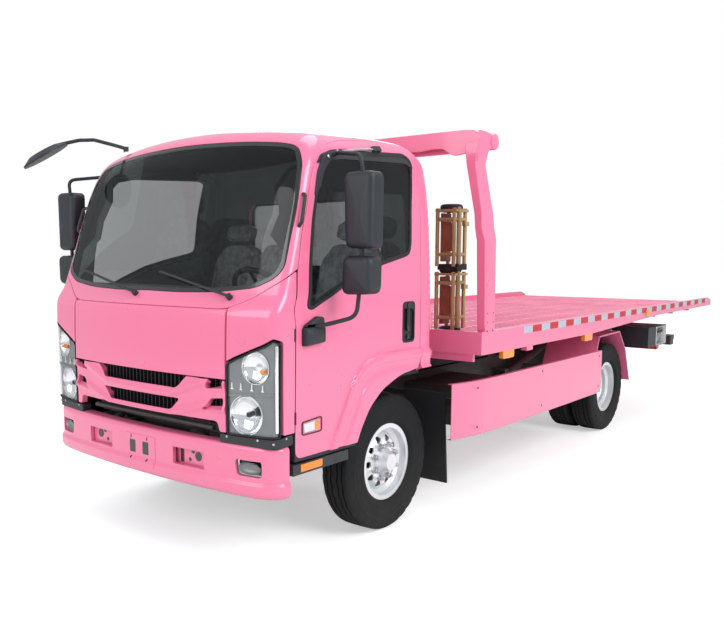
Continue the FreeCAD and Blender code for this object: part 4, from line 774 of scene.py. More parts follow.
def skin_frame(s, v, swell=None):
    """A spot on the skin and the way it faces, with pressed forms swelling it outward."""
    d = PROBE
    high_v = min(v + d, SKIN_CREST)
    along = (skin_spot(s + d, v) - skin_spot(s - d, v)) / (2 * d)
    up = (skin_spot(s, high_v) - skin_spot(s, v - d)) / (high_v - v + d)
    face = along.cross(up)
    face = face.normalized() if face.length > 1e-9 else Vector((0, 0, 1))
    spot = skin_spot(s, v)
    if swell:
        slope_s = (swell(s + d, v) - swell(s - d, v)) / (2 * d)
        slope_v = (swell(s, v + d) - swell(s, v - d)) / (2 * d)
        spot = spot + face * swell(s, v)
        if slope_s or slope_v:
            face = face - along * slope_s / max(along.length_squared, 1e-6) \
                - up * slope_v / max(up.length_squared, 1e-6)
            face.normalize()
    return spot, face


print("the door faces", [round(part, 2) for part in skin_frame(1.5, 1.1)[1]])

# %% [markdown]
# All on the cab is cut to an outline of points on the skin, moved inward where a gap is left and divided into
# short steps. Curve objects could hold them, but lists are easier to cut.

# %% Outlines
def resampled(loop, step):
    """Spots along a closed outline, never further apart than a step."""
    result = []
    for a, b in zip(loop, loop[1:] + loop[:1]):
        count = max(1, math.ceil(math.dist(a, b) / step))
        result += [(a[0] + (b[0] - a[0]) * k / count, a[1] + (b[1] - a[1]) * k / count) for k in range(count)]
    return result


def signed_area(loop):
    """The area inside an outline, below zero where it runs clockwise."""
    return sum(a[0] * b[1] - b[0] * a[1] for a, b in zip(loop, loop[1:] + loop[:1])) / 2


SHARPEST_SHARE = 0.35


def grown(loop, amount):
    """An outline moved outward by an amount, or inward by a negative one."""
    turn = 1 if signed_area(loop) > 0 else -1
    result = []
    for i, p in enumerate(loop):
        before = Vector(p) - Vector(loop[i - 1])
        after = Vector(loop[(i + 1) % len(loop)]) - Vector(p)
        if before.length < 1e-7 or after.length < 1e-7:
            continue
        before.normalize()
        after.normalize()
        out = Vector((before.y + after.y, -before.x - after.x)) * turn
        share = max(1 + before.dot(after), SHARPEST_SHARE)
        result.append((p[0] + out.x * amount / share, p[1] + out.y * amount / share))
    return result


def drawn_in(outline, amount, step=0.02):
    """An outline in short steps, moved inward by an amount."""
    return grown(resampled(outline, step), -amount)


def whole(half):
    """An outline from one half of it: the points off the middle are mirrored."""
    return half + [(-p[0],) + tuple(p[1:]) for p in half[::-1] if p[0] != 0]


print("a metre square drawn in by 0.1 m has", round(signed_area(drawn_in([(0, 0), (1, 0), (1, 1), (0, 1)],
    0.1)), 2), "m2")

# %% [markdown]
# One large face could not bend with the skin. So rows of points are laid over the outline, and a Delaunay
# triangulation joins them without slivers.

# %% Filling an outline with triangles
ROW_SHARE = 0.87
CLEAR_SHARE = 0.35
BATCH = 2000


def within(points, loop):
    """Which of many points lie inside an outline."""
    x, y = points[:, 0], points[:, 1]
    result = np.zeros(len(points), bool)
    for (ax, ay), (bx, by) in zip(loop, loop[1:] + loop[:1]):
        if ay != by:
            result ^= ((ay > y) != (by > y)) & (x < (bx - ax) * (y - ay) / (by - ay) + ax)
    return result


def in_region(points, outline, holes):
    """Which of many points lie inside an outline and outside its holes."""
    keep = within(points, outline)
    for hole in holes:
        keep &= ~within(points, hole)
    return keep


def closest(points, targets):
    """The squared distance from each point to its nearest target."""
    targets = np.array(targets)
    parts = [points[i:i + BATCH, None, :] for i in range(0, len(points), BATCH)]
    return np.concatenate([np.zeros(0)] + [((part - targets[None, :, :]) ** 2).sum(2).min(1)
        for part in parts])


def staggered(outline, step, width_at):
    """Rows of points over an outline, every other row set half a step aside."""
    low, high = np.min(np.array(outline), 0), np.max(np.array(outline), 0)
    grid = []
    row = 0
    v = low[1] + step * 0.5
    while v < high[1]:
        wide = step * (width_at(v) if width_at else 1.0)
        s = low[0] + wide * (0.5 if row % 2 else 1.0)
        while s < high[0]:
            grid.append((s, v))
            s += wide
        v += step * ROW_SHARE
        row += 1
    return np.array(grid).reshape(-1, 2)


def filled(outline, holes, step, width_at=None, extra=()):
    """Triangles that fill an outline, with the numbers of the spots along its edges."""
    rim, edges, loops = [], [], []
    for loop in [outline] + holes:
        numbers = [len(rim) + i for i in range(len(loop))]
        edges += zip(numbers, numbers[1:] + numbers[:1])
        rim += loop
        loops.append(numbers)
    clear_of = (CLEAR_SHARE * step) ** 2
    grid = staggered(outline, step, width_at)
    if len(extra):
        grid = np.concatenate([grid[closest(grid, extra) >= clear_of], np.array(extra)])
    grid = grid[in_region(grid, outline, holes)]
    grid = grid[closest(grid, rim) > clear_of]
    points = [Vector(p) for p in rim] + [Vector(p) for p in grid]
    spots, _, faces, origins, _, _ = delaunay_2d_cdt(points, edges, [], 0, 1e-6)
    middles = np.array([[sum(spots[i].x for i in f) / len(f), sum(spots[i].y for i in f) / len(f)]
        for f in faces])
    faces = [list(f) for f, good in zip(faces, in_region(middles, outline, holes)) if good]
    number = {k: i for i, sources in enumerate(origins) for k in sources}
    return [tuple(p) for p in spots], faces, [[number[k] for k in numbers] for numbers in loops]


print("a square is filled by", len(filled([(0, 0), (1, 0), (1, 1), (0, 1)], [], 0.5)[1]), "triangles")

# %% [markdown]
# A panel is a region of the skin with its edges turned in, as pressed steel has. A solidify modifier would
# leave them sharp; a small rounded lip catches the light along a real shut line.

# %% Cutting a panel from a surface
LIP = 0.0025
LIP_ANGLES = (30, 60, 90)
LINING_DEPTH = 0.012
SHUT_GAP = 0.006
SKIN_LIFT = 0.0015


def off_edge(rim, places, normals):
    """For each spot along an edge, the way that leads off the surface."""
    result = []
    for i, k in enumerate(rim):
        out = (places[rim[(i + 1) % len(rim)]] - places[rim[i - 1]]).cross(normals[k])
        result.append(out.normalized() if out.length > 1e-9 else Vector((0, 0, 0)))
    return result


def shaded_mesh(name, places, faces, normals, slots):
    """A mesh with its paints, shaded by the normals of its spots."""
    data = bpy.data.meshes.new(name)
    data.from_pydata(places, [], faces)
    data.validate()
    data.polygons.foreach_set("use_smooth", [True] * len(data.polygons))
    if any(slots) and len(data.polygons) == len(slots):
        data.polygons.foreach_set("material_index", slots)
    if len(data.vertices) == len(normals):
        data.normals_split_custom_set_from_vertices([tuple(n) for n in normals])
    return data


def panel(name, outline, paint, body, *nodes, holes=(), lift=SKIN_LIFT, depth=0.016, step=0.028, fine=0.012,
        swell=None, side=1, lip=LIP, width_at=None, gap=0.0, open_seam=False, surface=skin_frame,
        extra=(), inside=None):
    """A region of a surface as a piece, with a rounded lip and turned-in edges."""
    outline, *holes = [[(side * p[0], p[1]) for p in loop] for loop in (outline, *holes)]
    outline = outline if signed_area(outline) > 0 else outline[::-1]
    holes = [hole if signed_area(hole) < 0 else hole[::-1] for hole in holes]
    inset = gap + lip
    outline = resampled(grown(outline, -inset), fine)
    holes = [resampled(grown(hole, inset), fine) for hole in holes]
    spots, faces, rims = filled(outline, holes, step, width_at, [(side * p[0], p[1]) for p in extra])
    frames = [surface(s, v, swell) for s, v in spots]
    places = [spot + face * lift for spot, face in frames]
    normals = [face for _, face in frames]
    slots = [0] * len(faces)
    front = list(faces)
    rings = [(math.radians(a), 0.0) for a in LIP_ANGLES] + [(math.pi / 2, depth)]
    for hole_number, rim in enumerate(rims):
        previous = rim
        outs = off_edge(rim, places, normals)
        for ring_number, (angle, drop) in enumerate(rings):
            ring = [len(places) + i for i in range(len(rim))]
            for out, k in zip(outs, rim):
                shift = out * lip * math.sin(angle) - normals[k] * (lip * (1 - math.cos(angle)) + drop)
                places.append(places[k] + shift)
                normals.append((normals[k] * math.cos(angle) + out * math.sin(angle)).normalized())
            for i in range(len(rim)):
                j = (i + 1) % len(rim)
                ends = [abs(spots[rim[q]][0]) - SKIN_RUNS[-1] + inset for q in (i, j)]
                if open_seam and max(abs(end) for end in ends) < 2e-3:
                    continue
                faces.append([previous[i], ring[i], ring[j], previous[j]])
                slots.append(1 if inside and hole_number and ring_number == len(LIP_ANGLES) else 0)
            previous = ring
    if inside:
        first = len(places)
        places += [place - face * LINING_DEPTH for place, face in zip(places[:len(frames)], normals)]
        normals += [-face for _, face in frames]
        faces += [[first + i for i in f[::-1]] for f in front]
        slots += [1] * len(front)
    data = shaded_mesh(name, places, faces, normals, slots)
    return place_piece(name, data, [paint, inside] if inside else paint, body, nodes)


def strip(name, outline, width, paint, body, *nodes, **how):
    """A band that follows an outline inward, such as a seal."""
    return panel(name, resampled(outline, 0.02), paint, body, *nodes, holes=[drawn_in(outline, width)],
        **how)


print("shut lines", SHUT_GAP * 1000, "mm wide, lips", LIP * 1000, "mm")

# %% [markdown]
# The shut lines and glass edges could be drawn over a side view, but a run and a height keep them on the skin
# where it curves round the corners.

# %% Shut lines and glass edges
SIDE_RUN_START, SIDE_START_Y, SIDE_RUN_SHARE = 0.96, 0.93, 0.984


def skin_run(y):
    """The run round the cab's side at a length behind the front axle."""
    return SIDE_RUN_START + (y + SIDE_START_Y) * SIDE_RUN_SHARE


DOOR_EDGE = rounded([(1.037, 0.575), (1.045, 0.99), (1.045, 1.23), (0.965, 1.533), (0.951, 1.712),
    (0.958, 1.821), (0.958, 1.952), (0.956, 2.08, 0.05), (0.994, 2.189, 0.06), (1.063, 2.238, 0.06),
    (1.231, 2.271), (1.599, 2.282), (2.072, 2.3, 0.1), (2.15, 2.184, 0.06), (2.117, 1.902), (2.108, 1.673),
    (2.111, 1.385), (2.108, 0.962, 0.03), (2.087, 0.912, 0.03), (1.895, 0.89), (1.7275, 0.83),
    (1.614, 0.745), (1.5405, 0.64), (1.509, 0.575, 0.01)], 0.05)
WINDOW_EDGE = rounded([(1.12, 1.309), (1.098, 1.357), (1.043, 1.6), (1.019, 1.791), (1.016, 1.921),
    (1.024, 2.041, 0.05), (1.055, 2.135, 0.06), (1.198, 2.167), (1.665, 2.195), (2.03, 2.215, 0.05),
    (2.082, 2.185, 0.04), (2.052, 2.1), (2.01, 1.897), (2.001, 1.672), (1.985, 1.622, 0.03), (1.942, 1.605),
    (1.718, 1.56), (1.527, 1.51), (1.359, 1.431), (1.197, 1.328), (1.16, 1.299, 0.02)], 0.05)
SCREEN_EDGE = rounded(whole([(0, 1.4), (0.257, 1.396), (0.523, 1.405), (0.754, 1.434), (0.86, 1.492),
    (0.893, 1.546), (0.897, 1.686), (0.905, 1.799), (0.905, 1.929), (0.895, 2.1), (0.865, 2.185, 0.04),
    (0.825, 2.205), (0.739, 2.214), (0.562, 2.213), (0.274, 2.209), (0, 2.209)]), 0.05)
COWL_SEAM = [(0.64, 1.318), (0.711, 1.352), (0.772, 1.391), (0.87, 1.462), (0.962, 1.533)]
LAMP_EDGE = rounded([(0.64, 0.694), (0.945, 0.7), (0.95, 1.14, 0.012), (0.905, 1.156), (0.863, 1.13),
    (0.687, 1.06), (0.64, 1.037, 0.012)], 0.012)
HANDLE_EDGE = rounded([(1.93, 1.3), (2.048, 1.3), (2.048, 1.066), (1.93, 1.066)], 0.026)
print("door edge", len(DOOR_EDGE), "points, screen edge", len(SCREEN_EDGE), "points")

# %% [markdown]
# Over the wheel the steel flares out along a double fold. It is pressed into the door, so it is a swell of
# the same surface and not a strip.

# %% The wheel arch's flare
FLARE_EDGE = [(-0.64, 0.5), (-0.593, 0.581), (-0.488, 0.769), (-0.38, 0.937), (-0.231, 1.016),
    (0.004, 1.032), (0.218, 1.023), (0.6, 1.01)]
FLARE_RISE = 0.016
FLARE_AT = [0.0, 0.003, 0.008, 0.012, 0.046, 0.052, 0.06, 0.066, 0.094, 0.1, 0.108, 0.114, 0.4]
FLARE_SHARE = [0.0, 0.1, 0.88, 1.0, 1.0, 0.92, 0.52, 0.45, 0.45, 0.52, 0.92, 1.0, 1.0]
FLARE_TOP, FLARE_START, FLARE_END, FLARE_FADE = 1.045, 1.25, 2.28, 0.04
flare_line = measured([(skin_run(y), z) for y, z in FLARE_EDGE])[0][::2]
flare_steps = list(zip(flare_line, flare_line[1:]))


def flare(s, v):
    """How far the wheel arch's flare stands out of the door."""
    s = abs(s)
    if v > FLARE_TOP or s < FLARE_START or s > FLARE_END:
        return 0.0
    best = 1.0
    above = False
    for a, b in flare_steps:
        run = b - a
        t = held(((s - a.x) * run.x + (v - a.y) * run.y) / run.length_squared)
        gap_s = s - a.x - t * run.x
        gap_v = v - a.y - t * run.y
        far = math.hypot(gap_s, gap_v)
        if far < best:
            best = far
            above = gap_v * run.x - gap_s * run.y > 0
    if above:
        return 0.0
    return FLARE_RISE * float(np.interp(best, FLARE_AT, FLARE_SHARE)) * held((FLARE_END - s) / FLARE_FADE)


flare_points = []
for a, b in flare_steps:
    down = Vector(((b - a).y, -(b - a).x)).normalized()
    for start in (a, (a + b) / 2):
        flare_points += [tuple(start + down * far) for far in FLARE_AT[:-1]]
print("flare", len(flare_steps), "steps long, drawn by", len(flare_points), "points")

# %% [markdown]
# Roof, pillars, cowl and rear wall are one sheet, since their real seams are filled. The pink corner beside
# the lid could be a groove in it, but then the lid could not open.

# %% Cab body, corner panels and front lid
DOOR_PILLAR = [p for p in DOOR_EDGE if (p[1] > 1.533 or p[0] > 1.8) and p[1] > 0.955]
REAR_OPENING = [(3.14, 1.52), (2.6, 1.52), (2.56, 1.565), (2.56, 1.935), (2.6, 1.98), (3.14, 1.98)]
body_edge = whole([(0.0, 1.308), (0.585, 1.308)] + COWL_SEAM[:-1] + DOOR_PILLAR
    + [(2.111, 0.905), (3.14, 0.905)] + REAR_OPENING + [(3.14, 3.05)])
ROOF_START, ROOF_HALF_WIDTH, ROOF_WIDEST = 2.25, 0.92, 12.0


def roof_spacing(v):
    """How much wider the points are set where the roof's rings grow short."""
    return min(ROOF_HALF_WIDTH / max(skin_level(v)[2], 0.06), ROOF_WIDEST) if v > ROOF_START else 1.0


panel("cab_body", body_edge, pink, "cab", "cab_shell", holes=[SCREEN_EDGE], swell=flare,
    width_at=roof_spacing, open_seam=True, depth=0.044, inside=inner_grey)
corner_edge = rounded(COWL_SEAM + [(1.045, 1.23), (1.045, 0.99), (1.04, 0.707), (0.957, 0.707),
    (0.957, 1.148), (0.905, 1.164), (0.863, 1.138), (0.687, 1.068), (0.64, 1.045)], 0.012)
for side, word in SIDES:
    panel("cab_corner_" + word, corner_edge, pink, "cab", side=side, gap=SHUT_GAP / 2)

LID_STEP_AT, LID_STEP_WIDE, LID_STEP = 1.008, 0.012, 0.0022
lid_edge = rounded(whole([(0.0, 0.962), (0.634, 0.962), (0.634, 1.306), (0.0, 1.306)]), 0.014)


def lid_swell(s, v):
    """The shallow step that runs across the lid above its lower edge."""
    t = held((v - LID_STEP_AT) / LID_STEP_WIDE)
    return -LID_STEP + LID_STEP * t * t * (3 - 2 * t)


panel("front_lid_skin", lid_edge, pink, "lid", swell=lid_swell, gap=SHUT_GAP / 2)

# %% [markdown]
# A door carries a window with its seal, a recess and the arch's flare. A tube would be a quicker seal, but a
# moulded one lies flat, as does the windscreen's black fired border.

# %% Doors and glass
for side, word in SIDES:
    body = word + "_door"
    panel("door_skin_" + word, DOOR_EDGE, pink, body, holes=[WINDOW_EDGE, HANDLE_EDGE], swell=flare,
        side=side, extra=flare_points, inside=inner_grey, gap=SHUT_GAP / 2)
    strip("window_seal_" + word, WINDOW_EDGE, 0.02, rubber, body, side=side, lift=0.0025, depth=0.012,
        lip=0.002, gap=-0.002)
    panel("side_glass_" + word, drawn_in(WINDOW_EDGE, 0.014), glass, body, "door_glass_" + word, side=side,
        lift=-0.002, depth=0.004, lip=0.001, step=0.05, fine=0.03)
panel("windscreen", drawn_in(SCREEN_EDGE, 0.004), glass, "cab", "cab_glass", lift=-0.0015, depth=0.004,
    lip=0.001, step=0.05, fine=0.03)
strip("screen_border", SCREEN_EDGE, 0.03, gloss_black, "cab", lift=0.0, depth=0.004, lip=0.0015, gap=0.0035)

# %% [markdown]
# The skin's halves meet along the roof's middle and down the back. A welded sheet would need matching points;
# a thin strip covers the line instead.

# %% Joint strips on the roof and the back
LAST_RUN = SKIN_RUNS[-1]
JOINT_RISE, JOINT_SINK = 0.0024, 0.003
ROOF_JOINT_LEVEL = 3.035
JOINT_HALF = 0.014


def joint(mesh, spots):
    """A thin bar across the middle, through pairs of a run and a height."""
    rows = []
    for s, v in spots:
        a, face = skin_frame(s, v)
        b = Vector((-a.x, a.y, a.z))
        face = Vector((0, face.y, face.z)).normalized()
        rows.append([a + face * JOINT_RISE, b + face * JOINT_RISE, b - face * JOINT_SINK,
            a - face * JOINT_SINK])
    skinned(mesh, rows)


mesh = bmesh.new()
joint(mesh, [(0.06 + (LAST_RUN - 0.08) * k / 60, ROOF_JOINT_LEVEL) for k in range(61)])
for foot, height, steps in ((1.99, 1.04, 40), (0.935, 0.575, 20)):
    joint(mesh, [(LAST_RUN - JOINT_HALF, foot + height * k / steps) for k in range(steps + 1)])
finish_piece("cab_joints", mesh, pink, "cab", edge=0.0, smooth=25)

# %% [markdown]
# The lining's lighter grey and its depth come from a sheet inside the steel. Floor, bulkhead and sills are
# never seen whole, and plain blocks keep the light out.

# %% Linings, floor and bulkhead
LINING_LIFT = -0.049
DOOR_CARD_LIFT = -0.064
THIN_SHEET = {"depth": 0.002, "step": 0.06, "fine": 0.03, "lip": 0.001}
lining_edge = whole([(0.0, 2.235), (0.8, 2.235), (0.9, 2.19), (0.935, 2.0), (0.925, 1.55), (1.0, 1.5),
    (0.985, 1.95), (1.0, 2.19), (1.08, 2.245), (2.08, 2.27), (2.13, 2.18), (2.085, 1.62), (2.085, 0.93),
    (3.14, 0.93)] + REAR_OPENING + [(3.14, 3.03)])
panel("cab_lining", lining_edge, trim_grey, "cab", lift=LINING_LIFT, width_at=roof_spacing, **THIN_SHEET)
card_edge = [p for p in drawn_in(DOOR_EDGE, 0.035, 0.03) if p[1] > 0.9]
for side, word in SIDES:
    panel("door_card_" + word, card_edge, trim_grey, word + "_door",
        holes=[drawn_in(WINDOW_EDGE, -0.012, 0.03)], side=side, lift=DOOR_CARD_LIFT, **THIN_SHEET)
mesh = bmesh.new()
blocks(mesh, (-0.86, 0.86, -0.8, 0.325, 0.902, 0.908), (-0.355, 0.355, -0.66, 0.325, 0.992, 1.0),
    (-0.8, 0.8, -0.905, -0.899, 0.8, 1.3))
finish_piece("cab_floor_mat", mesh, dash_grey, "cab", edge=0.002)
mesh = bmesh.new()
blocks(mesh, (-0.84, 0.84, -0.905, -0.8, 0.765, 1.3), (-0.6, 0.6, -0.935, -0.904, 0.765, 1.27),
    (-0.86, -0.34, -0.8, 0.32, 0.862, 0.901), (0.34, 0.86, -0.8, 0.32, 0.862, 0.901),
    (-0.36, 0.36, -0.8, 0.32, 0.955, 0.991), (-0.36, -0.33, -0.8, 0.32, 0.862, 0.991),
    (0.33, 0.36, -0.8, 0.32, 0.862, 0.991), (0.64, 0.88, -0.925, -0.8, 0.705, 1.0),
    (-0.88, -0.64, -0.925, -0.8, 0.705, 1.0))
finish_piece("cab_structure", mesh, inner_grey, "cab", edge=0.002)

# %% [markdown]
# The rear window's seal could be a tube, but a ring of six edges turns over on both sides of the steel as a
# real one does. The liners follow the arch, but clear the steered tyre.

# %% Rear window and arch liners
rear_window = rounded([(-0.566, 1.474), (0.566, 1.474), (0.566, 1.906), (-0.566, 1.906)], 0.062, 8)
mesh = bmesh.new()
plate(mesh, rear_window, 0.005, lambda a, b, deep: (a, fy(0.367) + deep, b))
finish_piece("rear_window", mesh, glass, "cab", edge=0.0)


def around(mesh, rings, place):
    """A closed frame through outlines at several depths."""
    skinned(mesh, [[place(deep, a, b) for a, b in ring] for deep, ring in rings], closed=True)


mesh = bmesh.new()
outer, inner = grown(rear_window, 0.014), grown(rear_window, -0.014)
around(mesh, ((0.366, outer), (0.382, outer), (0.386, grown(outer, -0.005)), (0.386, grown(inner, 0.005)),
    (0.382, inner), (0.366, inner)), lambda deep, a, b: (a, fy(deep), b))
finish_piece("rear_window_seal", mesh, rubber, "cab", edge=0.0)
LINER_THICK = 0.006
LINER_IN, LINER_OUT = 0.47, 0.905
arch_line = measured([(-0.46, 0.5), (-0.445, 0.56), (-0.398, 0.675), (-0.3, 0.78), (-0.15, 0.852),
    (0.007, 0.886), (0.18, 0.905), (0.37, 0.915)])[0]
mesh = bmesh.new()
rows = []
for before, low, after in zip(arch_line[:1] + arch_line, arch_line, arch_line[1:] + arch_line[-1:]):
    ahead = (after - before).normalized()
    high = low + Vector((-ahead.y, ahead.x)) * LINER_THICK
    rows.append([(LINER_IN, fy(low.x), low.y), (LINER_OUT, fy(low.x), low.y),
        (LINER_OUT, fy(high.x), high.y), (LINER_IN, fy(high.x), high.y)])
skinned(mesh, rows)
blocks(mesh, (0.86, 0.9, -0.845, -0.465, 0.56, 0.76))
finish_piece("arch_liners", mesh, rubber, "cab", both=True, edge=0.0)

# %% [markdown]
# The grille is two sloping bars with a window at each end. The slots are holes in the same skin, with a wider
# lip, because a moulding has fatter edges.

# %% Grille moulding
grille_edge = rounded(whole([(0.0, 0.893, 0.0), (0.3, 0.893, 0.02), (0.372, 0.958, 0.004),
    (0.528, 0.958, 0.004), (0.508, 0.909, 0.006), (0.616, 0.918, 0.006), (0.616, 0.958, 0.003),
    (0.634, 0.958, 0.004), (0.634, 0.697, 0.01), (0.59, 0.697, 0.012), (0.576, 0.748, 0.02),
    (0.0, 0.748, 0.0)]))
low_slot = rounded([(-0.318, 0.834), (0.318, 0.834), (0.256, 0.778), (-0.256, 0.778)], 0.014)
end_window = rounded([(0.541, 0.857), (0.614, 0.865), (0.614, 0.811), (0.486, 0.799)], 0.007)
end_windows = [end_window, [(-p[0], p[1]) for p in end_window[::-1]]]
BAR_RIDGE, BAR_SINK = 0.013, 0.004
BAR_ENDS = (0.26, 0.22)
# Height in the middle, rise toward the ends and half the height of each bar
UPPER_BAR, LOWER_BAR = (0.862, 0.075, 0.032), (0.757, 0.058, 0.03)


def grille_swell(s, v):
    """Two bars that stand forward of the moulding, each with a sloping lower face."""
    ends = held((abs(s) - BAR_ENDS[0]) / BAR_ENDS[1])
    best = max([1 - abs(v - (height + rise * ends)) / half for height, rise, half in (UPPER_BAR, LOWER_BAR)]
        + [0.0])
    return BAR_RIDGE * best * best * (3 - 2 * best) - BAR_SINK


panel("grille_moulding", grille_edge, pink, "cab", "grille", holes=[low_slot] + end_windows,
    swell=grille_swell, lip=0.004, depth=0.03, step=0.014, fine=0.008, gap=0.002)

# %% [markdown]
# Behind the grille stand upright bars before a dark board. A picture of bars would be flat; thin blocks give
# the slots their true depth.

# %% Radiator screen and front brace
BAR_PITCH, BAR_COUNT, BAR_HALF = 0.031, 40, 0.003
BOARD_PITCH, BOARD_COUNT, BOARD_HALF = 0.11, 12, 0.056
SCREEN_LEVEL = 0.85
mesh = bmesh.new()
for i in range(BAR_COUNT):
    x = (i - (BAR_COUNT - 1) / 2) * BAR_PITCH
    front = skin_spot(x * 1.005, SCREEN_LEVEL).y
    block(mesh, (x - BAR_HALF, x + BAR_HALF), (front + 0.03, front + 0.048), (0.752, 0.956))
for i in range(BOARD_COUNT):
    x = -0.605 + i * BOARD_PITCH
    front = skin_spot(x, SCREEN_LEVEL).y
    block(mesh, (x - BOARD_HALF, x + BOARD_HALF), (front + 0.055, front + 0.06), (0.752, 0.957))
finish_piece("radiator_screen", mesh, rubber, "cab", edge=0.0)
mesh = bmesh.new()
for y, z, wide in ((-0.955, 0.735, 0.56), (-0.985, 0.7, 0.5)):
    tube(mesh, [(-wide, fy(y), z), (wide, fy(y), z)], 0.014)
for x in (-0.45, -0.28, 0.05, 0.34, 0.46):
    turned(mesh, (x, fy(-0.975), 0.718), (0, 0, 1), [(0.012, 0), (0.012, 0.006), (0.006, 0.008),
        (0.006, 0.02)], 6)
blocks(mesh, (-0.52, 0.52, -0.93, -0.9, 0.66, 0.8))
finish_piece("front_brace", mesh, dark_frame, "cab", edge=0.002)

# %% [markdown]
# A headlamp is a clear lens over a grey mask. One thick block of glass would hide what lies in it, so both
# are thin panels.

# %% Headlamp masks and lenses
# Run, height, radius and depth of the upper and the lower bowl
BOWLS = ((0.808, 1.028, 0.076, 0.036), (0.752, 0.797, 0.093, 0.048))


def circle(s, v, radius, count=40):
    """A round outline."""
    return [(s + radius * math.cos(a), v + radius * math.sin(a)) for a in round_steps(count)]


bowl_holes = [circle(s, v, radius + 0.001) for s, v, radius, _ in BOWLS]
for side, word in SIDES:
    panel("lamp_mask_" + word, drawn_in(LAMP_EDGE, 0.003), lamp_grey, "cab", holes=bowl_holes, side=side,
        lift=-0.012, lip=0.002, depth=0.012)
    strip("lamp_seal_" + word, LAMP_EDGE, 0.005, rubber, "cab", side=side, lift=0.0008, lip=0.001,
        gap=-0.001, depth=0.01)
    panel("lamp_lens_" + word, drawn_in(LAMP_EDGE, 0.004), clear, "cab", "headlamps", side=side, lift=0.0,
        lip=0.002, depth=0.008)

# %% [markdown]
# Behind the mask sit two mirrored bowls with bright ticks between them. A painted bowl would look flat from
# the side, so they are turned forms.

# %% Headlamp bowls, ticks and bulbs
TICK_RUNS = (0.672, 0.726, 0.79, 0.852)
TICK_PARTS = ((0.922, 0.95, 0.0035), (0.918, 0.923, 0.01))
PILLAR_EDGE = [(0.918, 0.722), (0.937, 0.722), (0.937, 1.128), (0.918, 1.132)]
RIB_EDGE = [(0.648, 0.882), (0.915, 0.9), (0.915, 0.911), (0.648, 0.894)]
# Bowl, shift along the skin, height, depth and profile of each bulb
BULBS = ((0, 0.03, -0.018, 0.034, [(0.013, 0), (0.013, 0.01), (0.009, 0.02), (0.003, 0.024)]),
    (1, 0.0, 0.0, 0.046, [(0.015, 0), (0.015, 0.012), (0.012, 0.019), (0.004, 0.022)]))
for side, word in SIDES:
    mesh = bmesh.new()
    for s, v, radius, deep in BOWLS:
        spot, face = skin_frame(side * s, v)
        rim = spot - face * 0.011
        inside = [(radius * math.cos(a), -deep * math.sin(a)) for a in [math.pi / 2 * k / 12
            for k in range(12)]]
        outside = [(r + 0.002, d - 0.002) for r, d in inside[::-1]]
        turned(mesh, rim, face, [(radius + 0.003, 0.0015), (radius, 0.0015)] + inside + outside, 56,
            closed=True)
        turned(mesh, rim - face * deep, face, [(radius * 0.26, 0.0), (radius * 0.24, 0.003), (0.006, 0.004)],
            32)
    for s in TICK_RUNS:
        for low, high, wide in TICK_PARTS:
            a, face = skin_frame(side * s, (low + high) / 2)
            a = a - face * 0.01
            block(mesh, (a.x - wide, a.x + wide), (a.y - 0.004, a.y + 0.004), (low, high))
    finish_piece("lamp_bowls_" + word, mesh, chrome, "cab", edge=0.0)
    panel("lamp_pillar_" + word, PILLAR_EDGE, chrome, "cab", side=side, lift=-0.005, depth=0.004)
    panel("lamp_rib_" + word, RIB_EDGE, lamp_grey, "cab", side=side, lift=-0.006, depth=0.006)
    mesh = bmesh.new()
    for bowl, along, up, deep, profile in BULBS:
        spot, face = skin_frame(side * (BOWLS[bowl][0] + along), BOWLS[bowl][1] + up)
        turned(mesh, spot - face * deep, face, profile, 24, bowl)
    finish_piece("lamp_bulbs_" + word, mesh, [amber, gloss_black], "cab", edge=0.0)

# %% [markdown]
# Under each lamp runs a black moulding that tilts with the cab. One amber block would do for a repeater from
# afar, but its clear cover over a silver back is what catches the light.

# %% Mouldings and side repeaters
skirt_edge = rounded([(0.59, 0.691), (0.7, 0.689), (0.95, 0.694), (1.033, 0.705), (1.036, 0.652),
    (0.93, 0.646), (0.59, 0.644)], 0.012)


def skin_bolts(name, places, sunk, profile, sides, body, side):
    """Small fasteners that stand on the skin, as one piece."""
    mesh = bmesh.new()
    for s, v in places:
        spot, face = skin_frame(side * s, v)
        turned(mesh, spot - face * sunk, face, profile, sides)
    finish_piece(name, mesh, steel, body, edge=0.0)


for side, word in SIDES:
    panel("lamp_skirt_" + word, skirt_edge, plastic, "cab", side=side, lift=-0.006, depth=0.05)
    skin_bolts("skirt_screws_" + word, ((0.635, 0.681), (0.82, 0.683), (0.905, 0.672), (0.985, 0.69)), 0.006,
        [(0.006, 0), (0.006, 0.002), (0.004, 0.0035)], 16, "cab", side)
low, high = skin_run(-0.8), skin_run(-0.655)
cover_edge = rounded([(low, 0.69), (high, 0.69), (high, 0.762), (low, 0.752)], 0.014)
back_edge = rounded([(low + 0.012, 0.7), (high - 0.014, 0.7), (high - 0.014, 0.751), (low + 0.012, 0.744)],
    0.008)
repeater_edge = rounded([(low - 0.003, 0.687), (high + 0.003, 0.687), (high + 0.003, 0.765),
    (low - 0.003, 0.755)], 0.016)
amber_edge = rounded([(high - 0.052, 0.704), (high - 0.018, 0.704), (high - 0.018, 0.748),
    (high - 0.052, 0.746)], 0.006)
for side, word in SIDES:
    body = word + "_door"
    panel("side_repeater_" + word, cover_edge, clear, body, side=side, lift=0.012, depth=0.014, lip=0.006,
        step=0.012, fine=0.006)
    panel("repeater_lens_" + word, back_edge, silver, body, side=side, lift=0.006, depth=0.005, lip=0.003,
        step=0.012, fine=0.006)
    strip("repeater_seal_" + word, repeater_edge, 0.006, plastic, body, side=side, lift=0.007, lip=0.002,
        depth=0.006)
    panel("repeater_amber_" + word, amber_edge, amber, body, side=side, lift=0.0085, depth=0.002, lip=0.001)

